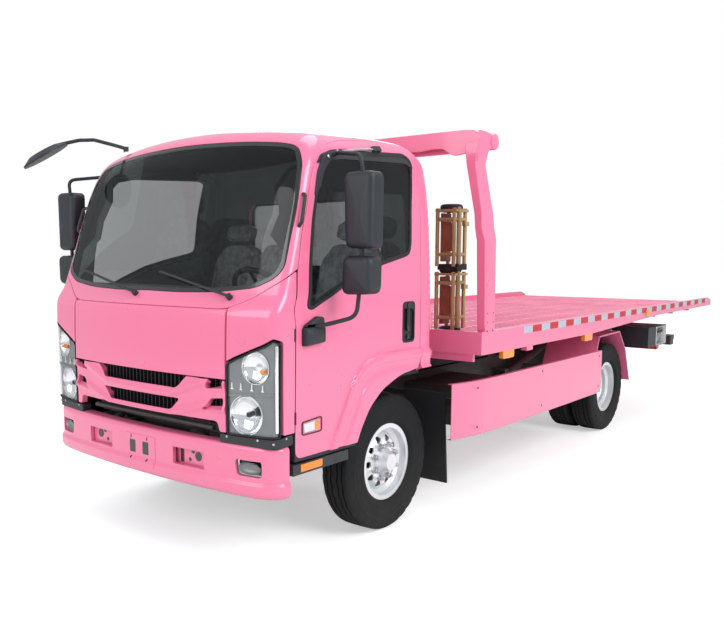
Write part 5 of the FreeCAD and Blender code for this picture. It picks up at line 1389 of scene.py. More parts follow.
# %% [markdown]
# The bumper is one pressing along a bowed plan, with a flange under the lamps and a lip below. A curve could
# sweep it, but cut like the cab's panels its openings get rounded lips.

# %% Bumper surface
BUMPER_PLAN = [(0.0, -1.0755), (0.12, -1.0745), (0.24, -1.0715), (0.36, -1.066), (0.48, -1.058),
    (0.6, -1.0475), (0.7, -1.036), (0.78, -1.023), (0.845, -1.005), (0.893, -0.976), (0.922, -0.94),
    (0.93, -0.91), (0.93, -0.884)]
BUMPER_FORM = [(0.1, 0.63), (0.094, 0.645), (0.084, 0.65), (0.034, 0.65), (0.02, 0.646), (0.0125, 0.634),
    (0.012, 0.6), (0.012, 0.52), (0.012, 0.484), (0.011, 0.478), (0.003, 0.47), (0.0005, 0.464), (0.0, 0.44),
    (0.0015, 0.42), (0.009, 0.404), (0.022, 0.397), (0.048, 0.396), (0.06, 0.4)]
FLANGE_RUN = 0.1
PLAN_PROBE, FORM_PROBE = 0.01, 0.003
bumper_plan = measured(BUMPER_PLAN)
bumper_form = measured(BUMPER_FORM)
BUMPER_END = bumper_plan[1][-1]
BUMPER_ROUND = bumper_form[1][-1]


def bumper_run(z):
    """The run down the bumper's form at a height on its face, below the flange."""
    return next(run for spot, run in zip(*bumper_form) if spot.y <= z and run > FLANGE_RUN)


def bumper_place(s, v):
    """A spot on the bumper: s runs along its plan, v runs down its form."""
    side = -1 if s < 0 else 1
    run = min(abs(s), BUMPER_END)
    spot = at_run(bumper_plan, run)
    before, after = max(run - PLAN_PROBE, 0.0), min(run + PLAN_PROBE, BUMPER_END)
    ahead = (at_run(bumper_plan, after) - at_run(bumper_plan, before)).normalized()
    inset, z = at_run(bumper_form, v)
    return Vector((side * (spot.x - ahead.y * inset), FRONT_AXLE_Y + spot.y + ahead.x * inset, z))


def bumper_frame(s, v, swell=None):
    """A spot on the bumper and the way it faces, its second run pointing up as on the cab."""
    v, d = -v, FORM_PROBE
    along = bumper_place(s + d, v) - bumper_place(s - d, v)
    down = bumper_place(s, min(v + d, BUMPER_ROUND)) - bumper_place(s, max(v - d, 0.0))
    return bumper_place(s, v), down.cross(along).normalized()


def on_bumper(points, side=1):
    """An outline given by its place across and its height, as runs on the bumper."""
    return [(side * p[0], -bumper_run(p[1])) for p in points]


print("bumper plan", round(2 * BUMPER_END, 3), "m, form", round(BUMPER_ROUND, 3), "m")

# %% [markdown]
# A boolean would leave sharp, uneven edges; as holes in the panel the openings get its lip. The seat for the
# number plate is bare, and a black sheet behind it paints the shade in its slots and screw holes.

# %% Bumper skin and plate seat
TOW = rounded([(0.262, 0.586), (0.486, 0.586), (0.486, 0.494), (0.262, 0.494)], 0.012)
FOG = rounded([(0.69, 0.582), (0.846, 0.584), (0.846, 0.506), (0.7, 0.506)], 0.014)
bumper_edge = rounded([(-BUMPER_END, -BUMPER_ROUND), (BUMPER_END, -BUMPER_ROUND), (BUMPER_END, 0.0),
    (-BUMPER_END, 0.0)], 0.02)
panel("bumper_skin", bumper_edge, pink, "chassis", "front_bumper",
    holes=[on_bumper(hole, side) for hole in (TOW, FOG) for side in (1, -1)], lift=0.0, lip=0.004,
    depth=0.02, step=0.016, fine=0.012, surface=bumper_frame)
seat_edge = rounded([(-0.126, 0.606), (0.126, 0.606), (0.126, 0.446), (-0.126, 0.446)], 0.008)
seat_holes = [rounded([(a, 0.575), (b, 0.575), (b, 0.505), (a, 0.505)], 0.006)
    for a, b in ((-0.088, -0.038), (0.022, 0.072))]
seat_holes += [circle(x, z, 0.0075, 14) for x, z in ((-0.075, 0.594), (0.06, 0.594), (-0.075, 0.474),
    (0.06, 0.474))]
panel("plate_seat", on_bumper(seat_edge), pink, "chassis", holes=[on_bumper(hole) for hole in seat_holes],
    lift=0.0035, lip=0.002, depth=0.005, step=0.016, fine=0.006, surface=bumper_frame)
TOW_MIDDLE, TOW_DEPTH = (0.374, 0.54), 0.034
# Shift, height, radius and sides of the black discs painted as the shade in the round holes of each tow
# recess
TOW_ROUNDS = ((0.045, 0.545, 0.024, 32), (-0.02, 0.52, 0.01, 20), (0.005, 0.566, 0.012, 20))
# Painted shade: black sheets behind the plate seat's slots and screw holes, and black discs and a block on
# each tow recess's floor
mesh = bmesh.new()
for hole in seat_holes:
    spots = [bumper_place(x, bumper_run(z)) + Vector((0, -0.0008, 0)) for x, z in hole]
    skinned(mesh, [spots, [p + Vector((0, -0.0006, 0)) for p in spots]])
for side in (1, -1):
    middle = bumper_place(side * TOW_MIDDLE[0], bumper_run(TOW_MIDDLE[1]))
    floor_y = middle.y + TOW_DEPTH
    for aside, z, radius, sides in TOW_ROUNDS:
        turned(mesh, (middle.x + side * aside, floor_y, z), (0, -1, 0), [(radius, 0.0), (radius, 0.002)],
            sides)
    edge_x = middle.x - side * 0.078
    block(mesh, sorted((edge_x - 0.011, edge_x + 0.011)), (floor_y - 0.003, floor_y), (0.5, 0.58))
finish_piece("bumper_painted_hole_shade", mesh, gloss_black, "chassis", edge=0.0)

# %% [markdown]
# Beam and stays are hardly seen, and blocks do. A fog lamp's bowl is not round, so it can't be turned: its
# rings are ovals, one behind the other.

# %% Bumper beam and fog lamps
mesh = bmesh.new()
for side in (1, -1):
    middle = bumper_place(side * TOW_MIDDLE[0], bumper_run(TOW_MIDDLE[1]))
    block(mesh, (middle.x - 0.125, middle.x + 0.125), (middle.y + TOW_DEPTH, middle.y + 0.04), (0.486, 0.594))
blocks(mesh, (-0.62, 0.62, -0.985, -0.98, 0.41, 0.63))
finish_piece("bumper_beam", mesh, pink, "chassis", edge=0.002)
mesh = bmesh.new()
blocks(mesh, (0.27, 0.3, -0.99, -0.885, 0.606, 0.64), (0.3, 0.34, -0.99, -0.982, 0.6, 0.645))
turned(mesh, (0.285, fy(-0.94), 0.64), (0, 0, 1), [(0.011, 0), (0.011, 0.007), (0.006, 0.008),
    (0.006, 0.014)], 6)
finish_piece("bumper_stays", mesh, dark_frame, "chassis", both=True, edge=0.002)
FOG_LENS = rounded([(0.694, 0.578), (0.842, 0.58), (0.842, 0.51), (0.704, 0.51)], 0.01)
FOG_BOWL = [(0.066, 0.0), (0.058, -0.008), (0.04, -0.014), (0.001, -0.016)]
FOG_MIDDLE, FOG_SINK, FOG_FLATNESS = (0.77, 0.545), 0.012, 0.46
for side, word in SIDES:
    lens_edge = on_bumper(FOG_LENS, side)
    panel("fog_lens_" + word, lens_edge, clear, "chassis", "bumper_lamps", lift=-0.008, lip=0.003,
        depth=0.006, step=0.012, fine=0.008, surface=bumper_frame)
    panel("fog_mask_" + word, lens_edge, gloss_black, "chassis", lift=-0.03, lip=0.001, depth=0.002,
        step=0.02, fine=0.01, surface=bumper_frame)
    spot, face = bumper_frame(side * FOG_MIDDLE[0], -bumper_run(FOG_MIDDLE[1]))
    across = face.cross(Vector((0, 0, 1))).normalized()
    mesh = bmesh.new()
    rings = []
    for radius, drop in FOG_BOWL + [(r * 0.98, d - 0.002) for r, d in FOG_BOWL[::-1]]:
        rings.append([spot - face * FOG_SINK + face * drop + across * radius * math.cos(a)
            + Vector((0, 0, 1)) * radius * FOG_FLATNESS * math.sin(a) for a in round_steps(40)])
    skinned(mesh, rings, closed=True)
    finish_piece("fog_bowl_" + word, mesh, lamp_grey, "chassis", edge=0.0)

# %% [markdown]
# Mirror heads have deep rounded backs. A subdivided cube would lose their slanted outline, so they are rings
# of it that shrink.

# %% A rounded shell
CAP_SHARES = (0.12, 0.35, 0.6, 0.85)
CAP_RISE = 0.004
FRONT_FLATNESS = 0.8


def shell(mesh, outline, y0, y1, front_round, back_round):
    """A rounded body between two depths, from an outline across the truck."""
    middle = Vector((sum(p[0] for p in outline), sum(p[1] for p in outline))) / len(outline)

    def shrunk(loop, share):
        return [tuple(middle + (Vector(p) - middle) * share) for p in loop]

    face = grown(outline, -front_round)
    rings = [(shrunk(face, share), y0 - CAP_RISE * (1 - share * share)) for share in CAP_SHARES]
    for a in [math.pi / 2 * k / 6 for k in range(7)]:
        inset = front_round * (1 - math.sin(a))
        rings.append((grown(outline, -inset), y0 + front_round * FRONT_FLATNESS * (1 - math.cos(a))))
    for a in [math.pi / 2 * k / 4 for k in range(5)]:
        inset = back_round * (1 - math.cos(a))
        rings.append((grown(outline, -inset), y1 - back_round * (1 - math.sin(a))))
    rings.append((shrunk(grown(outline, -back_round), 0.9), y1))
    skinned(mesh, [[(p[0], y, p[1]) for p in ring] for ring, y in rings])


print("a shell has", len(CAP_SHARES) + 13, "rings")

# %% [markdown]
# Each door carries two mirrors on one bent tube; the far ones stand further forward. Both sides are drawn as
# the left and then moved across.

# %% Door mirrors
# Outline, front and back from the front axle, how round the front is, and its glass
HEADS = ((rounded([(1.03, 1.59), (1.02, 1.948), (1.198, 1.95), (1.194, 1.6), (1.17, 1.586)], 0.04, 8),
    -0.622, -0.52, 0.036, -0.5185), (rounded([(1.014, 1.366), (1.022, 1.555), (1.196, 1.552),
    (1.192, 1.372)], 0.042, 8), -0.632, -0.528, 0.038, -0.5265))
# Outline of the arm's foot and of its hood, each with insets and places across
FOOT_PARTS = ((rounded([(fy(-0.8), 1.122), (fy(-0.8), 1.215), (fy(-0.65), 1.215), (fy(-0.65), 1.132)],
    0.016), ((0.0, 0.92), (0.0, 0.938), (0.003, 0.947), (0.007, 0.952), (0.012, 0.955))),
    (rounded([(fy(-0.795), 1.219), (fy(-0.7), 1.262), (fy(-0.655), 1.258), (fy(-0.65), 1.219)], 0.01),
    ((0.0, 0.92), (0.0, 0.934), (0.004, 0.943), (0.008, 0.947))))
HEAD_AHEAD = {1: 0.0, -1: -0.15}
GLASS_INSET, GLASS_THICK = 0.014, 0.004
for side, word in SIDES:
    ahead = HEAD_AHEAD[side]
    mesh = bmesh.new()
    for outline, front, back, roundness, _ in HEADS:
        shell(mesh, outline, fy(front + ahead), fy(back + ahead), roundness, 0.01)
    top_foot = skin_frame(1.135, 2.165)[0]
    tube(mesh, [top_foot + Vector((-0.004, 0, 0)), top_foot + Vector((0.035, 0.004, 0.012)),
        (1.104, fy(-0.585 + ahead), 2.028), (1.11, fy(-0.572 + ahead), 1.94)], 0.0105, 18, 0.055)
    tube(mesh, [(1.108, fy(-0.575 + ahead), 1.6), (1.108, fy(-0.575 + ahead), 1.545)], 0.0115, 18)
    tube(mesh, [(1.1, fy(-0.585 + ahead), 1.38), (1.096, fy(-0.6 + ahead * 0.8), 1.262),
        (0.99, fy(-0.69), 1.226), (0.942, fy(-0.722), 1.216)], 0.0105, 18, 0.045)
    for outline, rings in FOOT_PARTS:
        skinned(mesh, [[(x, a, b) for a, b in grown(outline, -inset)] for inset, x in rings])
    glasses = bmesh.new()
    for outline, _, _, _, y in HEADS:
        outline = grown(outline, -GLASS_INSET)
        skinned(glasses, [[(p[0], fy(y + ahead) - deep, p[1]) for p in outline] for deep in (GLASS_THICK, 0)])
    if side < 0:
        flipped(mesh.verts)
        flipped(glasses.verts)
    finish_piece("door_mirrors_" + word, mesh, plastic, word + "_door", "mirrors_" + word, edge=0.0,
        smooth=50)
    finish_piece("mirror_glass_" + word, glasses, chrome, word + "_door", edge=0.0)

# %% [markdown]
# A bracket, a thin rail and a grab handle break up the pink. Set by eye they would float; places on the skin
# keep them on the steel.

# %% Fittings over the doors
MOULDED = {"lip": 0.004, "step": 0.014, "fine": 0.008}
bracket_edge = rounded([(1.008, 1.9), (1.0, 2.05), (1.028, 2.165), (1.23, 2.206), (1.235, 2.168),
    (1.11, 2.14), (1.062, 2.07), (1.046, 1.96)], 0.022)
clip_edge = rounded([(1.6, 2.192), (1.6, 2.224), (1.7, 2.228), (1.7, 2.196)], 0.006)


def along_skin(points, lift, side):
    """Spots on the skin at a height above it, for a tube that follows the cab."""
    frames = [skin_frame(side * s, v) for s, v in points]
    return [spot + face * lift for spot, face in frames]


for side, word in SIDES:
    body = word + "_door"
    panel("window_bracket_" + word, bracket_edge, plastic, body, side=side, lift=0.01, depth=0.012, **MOULDED)
    mesh = bmesh.new()
    tube(mesh, along_skin([(1.225, 2.186), (1.4, 2.198), (1.62, 2.207)], 0.012, side), 0.006, 14)
    finish_piece("window_rail_" + word, mesh, steel, body, edge=0.0)
    panel("rail_clip_" + word, clip_edge, plastic, body, side=side, lift=0.02, depth=0.022, **MOULDED)
    skin_bolts("bracket_bolts_" + word, ((1.075, 2.15), (1.175, 2.183)), -0.009,
        [(0.009, 0), (0.009, 0.006), (0.006, 0.008)], 6, body, side)
    mesh = bmesh.new()
    tube(mesh, along_skin([(0.927, 1.915)], 0.0, side) + along_skin([(0.928, 1.905), (0.93, 1.765)], 0.028,
        side) + along_skin([(0.931, 1.755)], 0.0, side), 0.009, 14, 0.02)
    finish_piece("pillar_handle_" + word, mesh, plastic, "cab", edge=0.0)

# %% [markdown]
# The handle lies in a black dish behind a hole in the skin; a block would look the same from the front only.
# The reflector is ribbed, to catch light as a moulded lens does.

# %% Pull handles and step reflectors
for side, word in SIDES:
    body = word + "_door"
    panel("handle_dish_" + word, drawn_in(HANDLE_EDGE, 0.001, 0.01), plastic, body, side=side, lift=-0.013,
        depth=0.004, lip=0.001, step=0.03, fine=0.01)
    strip("handle_rim_" + word, HANDLE_EDGE, 0.006, plastic, body, side=side, lift=0.0022, lip=0.0015,
        gap=-0.001, depth=0.014)
    mesh = bmesh.new()
    pull = along_skin([(1.985, 1.287), (1.978, 1.262), (1.978, 1.15), (1.985, 1.128)], 0.0, side)
    tube(mesh, pull, 0.0105, 16, 0.02)
    spot, face = skin_frame(side * 1.993, 1.095)
    turned(mesh, spot - face * 0.012, face, [(0.012, 0), (0.012, 0.009), (0.009, 0.011)], 24)
    finish_piece("pull_handle_" + word, mesh, gloss_black, body, edge=0.0)
RIB_PITCH, RIB_WIDE, RIB_COUNT = 0.0107, 0.005, 15
mesh = bmesh.new()
blocks(mesh, (0.9255, 0.9285, -0.815, -0.655, 0.512, 0.548))
for i in range(RIB_COUNT):
    y = fy(-0.81) + i * RIB_PITCH
    block(mesh, (0.9285, 0.9298), (y, y + RIB_WIDE), (0.515, 0.545))
finish_piece("step_reflectors", mesh, amber, "cab", both=True, edge=0.0)

# %% [markdown]
# A truck tyre has zigzag grooves and notched shoulders. A bump could draw them, but the tread stands against
# the light, so they are in its section.

# %% The tyre's section
TYRE_RADIUS = 0.3875
AXLE_HEIGHT = 0.3875
GROOVE_DEPTH = 0.0095
SHOULDER_DROP = 0.006
NOTCH_DEPTH, NOTCH_ABOVE = 0.006, 0.359
ZIGZAG_HALF = 0.065
# Place across, and how deep the tread lies there: above zero in grooves, below it on the shoulder
TREAD_SECTION = [(0.0, 0.0), (0.0165, 0.0), (0.0185, 1.0), (0.0245, 1.0), (0.0265, 0.0), (0.048, -0.08),
    (0.05, 0.92), (0.056, 0.92), (0.058, -0.12), (0.07, -0.22), (0.079, -0.4)]
# Place across, and radius
SIDE_SECTION = [(0.086, 0.38), (0.0915, 0.371), (0.0945, 0.36), (0.0965, 0.348), (0.0975, 0.34),
    (0.099, 0.338), (0.1, 0.318), (0.0996, 0.3), (0.0992, 0.296), (0.0978, 0.294), (0.097, 0.276),
    (0.0955, 0.258), (0.0965, 0.256), (0.0945, 0.242), (0.088, 0.23), (0.08, 0.223), (0.0745, 0.219),
    (0.072, 0.208)]


def tyre_section():
    """The tyre's section: place across, radius, how far a notch cuts, and whether it zigzags."""
    half = []
    for x, share in TREAD_SECTION:
        drop = GROOVE_DEPTH * share if share > 0 else SHOULDER_DROP * -share
        half.append((x, TYRE_RADIUS - drop, 0.0, 0.001 < x < ZIGZAG_HALF))
    for x, radius in SIDE_SECTION:
        half.append((x, radius, NOTCH_DEPTH if radius > NOTCH_ABOVE else 0.0, False))
    return [(-x, radius, cut, zigzag) for x, radius, cut, zigzag in half[::-1][:-1]] + half


print("tyre section", len(tyre_section()), "points")

# %% [markdown]
# The section goes round in small turns, six to a wave of the zigzag. An array of blocks would have to be
# welded; a formula closes by itself.

# %% Tyres with tread
TYRE_TURNS = 180
WAVE_TURNS = 6
ZIGZAG = 0.0035
FRONT_WHEEL_X = 0.785
REAR_OUTER_X = 0.795
REAR_INNER_X = 0.569


def tyre(mesh, centre_x, centre_y):
    """A tyre with its tread, at a place across and along the truck."""
    section = tyre_section()
    rows = []
    for k, a in enumerate(round_steps(TYRE_TURNS)):
        wave = ZIGZAG * (abs((k % WAVE_TURNS) - 3) / 1.5 - 1)
        notch = 1.0 if k % WAVE_TURNS in (0, 1) else 0.0
        row = []
        for x, radius, cut, zigzag in section:
            r = radius - cut * notch
            row.append(mesh.verts.new((centre_x + x + (wave if zigzag else 0.0), centre_y + r * math.cos(a),
                AXLE_HEIGHT + r * math.sin(a))))
        rows.append(row)
    for a, b in zip(rows, rows[1:] + rows[:1]):
        for i in range(len(a)):
            j = (i + 1) % len(a)
            mesh.faces.new((a[i], b[i], b[j], a[j]))


for side, word in SIDES:
    mesh = bmesh.new()
    tyre(mesh, side * FRONT_WHEEL_X, FRONT_AXLE_Y)
    finish_piece("front_tyre_" + word, mesh, tyre_rubber, "wheel_front_" + word, "tyre_front_" + word,
        edge=0.0, smooth=30)
    mesh = bmesh.new()
    for x in (REAR_OUTER_X, REAR_INNER_X):
        tyre(mesh, side * x, REAR_AXLE_Y)
    finish_piece("rear_tyres_" + word, mesh, tyre_rubber, "wheels_rear_" + word, "tyres_rear_" + word,
        edge=0.0, smooth=30)

# %% [markdown]
# A picture of the nuts would do from the front, but they catch the light one by one, so each is a turned form
# of six sides.

# %% Wheel nuts
NUT_CIRCLE = 0.098
NUT_COUNT = 8
NUT_FORM = [(0.019, -0.002), (0.019, 0.004), (0.0165, 0.004), (0.0165, 0.024), (0.013, 0.028)]
STUD_FORM = [(0.01, 0.02), (0.01, 0.04), (0.008, 0.042)]


def wheel_nuts(name, face_x, centre_y, side, body):
    """A ring of nuts on short studs, standing out of a rim's face."""
    mesh = bmesh.new()
    for k in range(NUT_COUNT):
        a = 2 * math.pi * (k + 0.5) / NUT_COUNT
        spot = (side * face_x, centre_y + NUT_CIRCLE * math.cos(a), AXLE_HEIGHT + NUT_CIRCLE * math.sin(a))
        turned(mesh, spot, (side, 0, 0), NUT_FORM, 6)
        turned(mesh, spot, (side, 0, 0), STUD_FORM, 16)
    finish_piece(name, mesh, steel, body, edge=0.001)


for side, word in SIDES:
    wheel_nuts("front_nuts_" + word, FRONT_WHEEL_X + 0.048, FRONT_AXLE_Y, side, "wheel_front_" + word)
    wheel_nuts("rear_nuts_" + word, REAR_OUTER_X - 0.06, REAR_AXLE_Y, side, "wheels_rear_" + word)

# %% [markdown]
# The gantry stands on two bent posts. Straight blocks would be quicker, but the bends show from every side,
# so each is a skin through eight sections.

# %% Gantry posts
# Front and its height, back and its height, inner and outer side of each section
POST_SECTIONS = ((0.675, 1.045, 0.79, 1.045, 1.052, 1.108), (0.66, 1.15, 0.787, 1.11, 1.052, 1.108),
    (0.638, 1.64, 0.779, 1.65, 1.05, 1.108), (0.62, 1.715, 0.775, 1.725, 1.046, 1.094),
    (0.612, 1.8, 0.757, 1.8, 1.044, 1.096), (0.54, 2.08, 0.664, 2.085, 1.026, 1.086),
    (0.53, 2.15, 0.668, 2.15, 1.022, 1.098), (0.534, 2.205, 0.69, 2.205, 1.02, 1.108))
mesh = bmesh.new()
skinned(mesh, [[(x, fy(f), z), (out, fy(f), z), (out, fy(b), zb), (x, fy(b), zb)]
    for f, z, b, zb, x, out in POST_SECTIONS])
finish_piece("gantry_posts", mesh, pink, "bed", "bed_gantry", both=True, edge=0.005, smooth=25)
mesh = bmesh.new()
for y, z in [(y, z) for y in (0.69, 0.76) for z in (1.095, 1.15, 1.205)]:
    turned(mesh, (1.107, fy(y), z), (1, 0, 0), [(0.008, 0), (0.008, 0.002), (0.005, 0.003)], 6)
finish_piece("post_bolts", mesh, dark_frame, "bed", both=True, edge=0.0)
mesh = bmesh.new()
fold = rounded([(0.65, 1.64), (0.769, 1.648), (0.777, 1.12), (0.672, 1.12)], 0.006)
plate(mesh, fold, 0.004, lambda a, b, deep: (1.1065 + deep * 0.8, fy(a), b))
blocks(mesh, (1.026, 1.098, 0.545, 0.549, 2.098, 2.142))
finish_piece("post_faces", mesh, pink, "bed", both=True, edge=0.0015)

# %% [markdown]
# The board's lower edge is a row of scallops, so it is cut to an outline. A bump would not show along the
# deck's edge against the light, so each pressed tread is a low block with sloping sides.

# %% Gantry board and deck treads
BOARD_THICK, CHEEK_THICK = 0.012, 0.01
TUBE_FORM = [(0.03, 0.0), (0.044, 0.004), (0.048, 0.01), (0.048, 2.21), (0.044, 2.216), (0.03, 2.22)]
board = [(-1.1, 2.19), (-1.104, 2.24), (-1.075, 2.276), (-1.0, 2.284), (0.0, 2.29), (1.0, 2.284),
    (1.075, 2.276), (1.104, 2.24), (1.1, 2.19), (1.03, 2.152), (0.985, 2.142), (0.935, 2.138),
    (0.895, 2.158), (0.862, 2.184), (0.79, 2.19), (0.68, 2.18), (0.56, 2.192)]
board += [(-x, z) for x, z in board[9:][::-1]]
cheek = rounded([(0.556, 2.192), (0.556, 2.276), (0.64, 2.276), (0.745, 2.262), (0.745, 2.18), (0.66, 2.18)],
    0.012)
mesh = bmesh.new()
plate(mesh, rounded(board, 0.02), BOARD_THICK, lambda a, b, deep: (a, fy(0.552) + deep, b))
blocks(mesh, (-1.05, 1.05, 0.56, 0.7, 2.262, 2.27), (-1.06, 1.06, 0.69, 0.7, 2.19, 2.268))
for side in (1, -1):
    plate(mesh, cheek, CHEEK_THICK, lambda a, b, deep, side=side: (side * (1.088 + deep), fy(a), b))
finish_piece("gantry_board", mesh, pink, "bed", edge=0.004, smooth=30)
mesh = bmesh.new()
turned(mesh, (-1.11, fy(0.74), 2.226), (1, 0, 0), TUBE_FORM, 48)
finish_piece("gantry_tube", mesh, pink, "bed", edge=0.0)
TREAD_PITCH = 0.047
TREADS_ACROSS, TREAD_STEP, TREAD_START = 9, 0.234, -1.04
ROW_SHIFT = 0.02
TREAD_LENGTH, TREAD_WIDTH, TREAD_SLOPE = 0.19, 0.018, 0.004
TREAD_FOOT, TREAD_TOP = 1.0445, 1.0495
mesh = bmesh.new()
for i in range(int((fy(5.72) - fy(0.86)) / TREAD_PITCH)):
    y = fy(0.86) + i * TREAD_PITCH
    for k in range(TREADS_ACROSS):
        x = TREAD_START + k * TREAD_STEP + (ROW_SHIFT if i % 2 else 0.0)
        skinned(mesh, [[(x + slope, y + slope, z), (x + TREAD_LENGTH - slope, y + slope, z),
            (x + TREAD_LENGTH - slope, y + TREAD_WIDTH - slope, z), (x + slope, y + TREAD_WIDTH - slope, z)]
            for slope, z in ((0.0, TREAD_FOOT), (TREAD_SLOPE, TREAD_TOP))])
finish_piece("deck_treads", mesh, deck_pink, "bed", edge=0.0)

# %% [markdown]
# Tape could be painted on, but from the side a strip has an edge, so each length is a thin block. Bracket,
# side lamp and hook are pieces of their own, since each has another finish.

# %% Tape and fittings on the rails
TAPE_START, TAPE_END, TAPE_LAST_START = 1.185, 5.66, 5.6
TAPE_BLOCK, TAPE_GAP = 0.137, 0.002
TAPE_LOW, TAPE_HIGH = 1.046, 1.09
tape_middle = (TAPE_LOW + TAPE_HIGH) / 2
tapes = [bmesh.new(), bmesh.new()]
for i in range(int((TAPE_LAST_START - TAPE_START) / TAPE_BLOCK) + 1):
    y0 = fy(TAPE_START + i * TAPE_BLOCK)
    y1 = min(y0 + TAPE_BLOCK - TAPE_GAP, fy(TAPE_END))
    block(tapes[i % 2], (1.1095, 1.1112), (y0, y1), (TAPE_LOW, TAPE_HIGH))
    block(tapes[i % 2], (1.111, 1.1116), (y0, y1), (tape_middle - 0.002, tape_middle + 0.002))
finish_piece("white_tape_strips", tapes[0], white_tape, "bed", both=True, edge=0.0)
finish_piece("red_tape_strips", tapes[1], red_tape, "bed", both=True, edge=0.0)
mesh = bmesh.new()
blocks(mesh, (1.06, 1.104, 1.255, 1.345, 0.925, 0.957))
finish_piece("rail_brackets", mesh, pink, "bed", both=True, edge=0.002)
mesh = bmesh.new()
lamp_edge = [(0.0, 1.012), (0.085, 1.012), (0.085, 1.066), (0.0, 1.066)]
skinned(mesh, [[(1.1105 + out, fy(3.62 + a), z) for a, z in rounded(lamp_edge, radius)]
    for out, radius in ((0.0, 0.008), (0.008, 0.008), (0.01, 0.0081))])
finish_piece("rail_lamps", mesh, amber, "bed", both=True, edge=0.0)
mesh = bmesh.new()
tube(mesh, [(x, fy(0.86), z) for x, z in ((1.0, 1.046), (1.0, 1.085), (1.03, 1.115), (1.045, 1.09))], 0.006,
    12, 0.012)
finish_piece("deck_hooks", mesh, dark_frame, "bed", both=True, edge=0.0)

# %% [markdown]
# Two wheel dollies are stacked behind the post. A solid block would be lighter to draw, but daylight passes
# through the real tube frames.

# %% Wheel dollies
DOLLY_X = X0, X1 = (0.705, 0.826)
DOLLY_Y = Y0, Y1 = (fy(0.756), fy(0.89))
POLE_Y = Y0 + 0.04
WHEEL_FORM = [(0.02, 0.0), (0.056, 0.002), (0.068, 0.008), (0.072, 0.02), (0.072, 0.034), (0.068, 0.046),
    (0.056, 0.052), (0.02, 0.054)]
frames, boards, wheels = bmesh.new(), bmesh.new(), bmesh.new()
for base in (1.105, 1.505):
    for x in DOLLY_X:
        for y in DOLLY_Y:
            tube(frames, [(x, y, base - 0.02), (x, y, base + 0.345)], 0.0125, 16)
    for z in (base + 0.055, base + 0.275):
        for start, end in (((X0, Y0), (X1, Y0)), ((X0, Y1), (X1, Y1)), ((X0, Y0), (X0, Y1)),
                ((X1, Y0), (X1, Y1))):
            tube(frames, [(*start, z), (*end, z)], 0.012, 14)
    tube(frames, [(X1 + 0.012, POLE_Y, base - 0.01), (X1 + 0.012, POLE_Y, base + 0.34)], 0.015, 16)
    block(frames, (X0 - 0.01, X1 + 0.02), (Y0 - 0.012, Y1 + 0.012), (base + 0.322, base + 0.338))
    block(frames, (X1 - 0.004, X1 + 0.02), (Y1 - 0.03, Y1 + 0.02), (base + 0.235, base + 0.262))
    block(boards, (X0 + 0.014, X0 + 0.03), (Y0 + 0.014, Y1 - 0.014), (base + 0.01, base + 0.315))
    block(boards, (X0 + 0.02, X1 - 0.01), (Y0 + 0.016, Y0 + 0.03), (base + 0.075, base + 0.255))
    for z in (base + 0.338, base + 0.3):
        turned(frames, (X1 + 0.006, POLE_Y, z), (1, 0, 0), [(0.015, 0), (0.015, 0.012), (0.008, 0.014)], 6)
finish_piece("dolly_tubes", frames, gold, "bed", "dolly_frames", edge=0.0)
finish_piece("dolly_boards", boards, brown_board, "bed", edge=0.002)
for z in (1.047, 1.44, 1.824):
    turned(wheels, (sum(DOLLY_X) / 2, sum(DOLLY_Y) / 2, z), (0, 0, 1), WHEEL_FORM, 40)
block(wheels, (X0, X1 + 0.024), (Y0 + 0.006, Y1 - 0.006), (1.462, 1.5))
finish_piece("dolly_tyres", wheels, rubber, "bed", "dolly_wheels", edge=0.002)

# %% [markdown]
# The control box is a bright frame round a dark opening. Its levers stay fixed, so one piece holds them all
# with their knobs.

# %% Control box
LEVER_COUNT, LEVER_PITCH = 5, 0.045
outer = rounded([(fy(4.175), 0.694), (fy(4.476), 0.694), (fy(4.476), 0.878), (fy(4.175), 0.878)], 0.02)
inner = grown(outer, -0.014)
mesh = bmesh.new()
around(mesh, ((0.905, outer), (1.04, outer), (1.044, grown(outer, -0.003)), (1.044, grown(outer, -0.011)),
    (1.04, inner), (0.905, inner)), lambda deep, a, b: (deep, a, b))
finish_piece("control_frame", mesh, steel, "chassis", edge=0.0)
mesh = bmesh.new()
for i in range(LEVER_COUNT):
    y = fy(4.235 + i * LEVER_PITCH)
    tube(mesh, [(0.985, y, 0.742), (1.008, y, 0.78), (1.018, y, 0.812)], 0.005, 12)
    turned(mesh, (1.018, y, 0.808), (0.2, 0, 1), [(0.004, 0), (0.009, 0.005), (0.009, 0.016),
        (0.004, 0.021)], 16, 1)
blocks(mesh, (0.96, 0.99, 4.215, 4.44, 0.718, 0.748))
finish_piece("control_levers", mesh, [steel, gloss_black], "chassis", edge=0.001)

# %% [markdown]
# A skirt of thin steel hangs between the wheels. A flat board would miss its folds and bow, so a section is
# carried along the plan.

# %% Side skirts
SKIRT_TOP, SKIRT_FOOT = 0.786, 0.443
FOLD, WALL, FLANGE = 0.003, 0.004, 0.028
# How far in from the face, and height, once round the folded sheet
SKIRT_SECTION = ((0.0, SKIRT_FOOT + FOLD), (0.0, SKIRT_TOP - FOLD), (FOLD, SKIRT_TOP), (FLANGE, SKIRT_TOP),
    (FLANGE, SKIRT_TOP - FOLD), (WALL, SKIRT_TOP - FOLD), (WALL, SKIRT_FOOT + FOLD),
    (FLANGE, SKIRT_FOOT + FOLD), (FLANGE, SKIRT_FOOT), (FOLD, SKIRT_FOOT))
skirt_plan = measured([(1.0, 0.472), (1.016, 0.53), (1.034, 0.62), (1.048, 0.72), (1.056, 0.84), (1.06, 1.0),
    (1.061, 1.5), (1.061, 2.1), (1.061, 2.735)])[0]
mesh = bmesh.new()
skinned(mesh, [[(spot.x - inset, fy(spot.y), z) for inset, z in SKIRT_SECTION] for spot in skirt_plan])
finish_piece("skirt_panels", mesh, pink, "chassis", "side_skirts", both=True, edge=0.0, smooth=30)
mesh = bmesh.new()
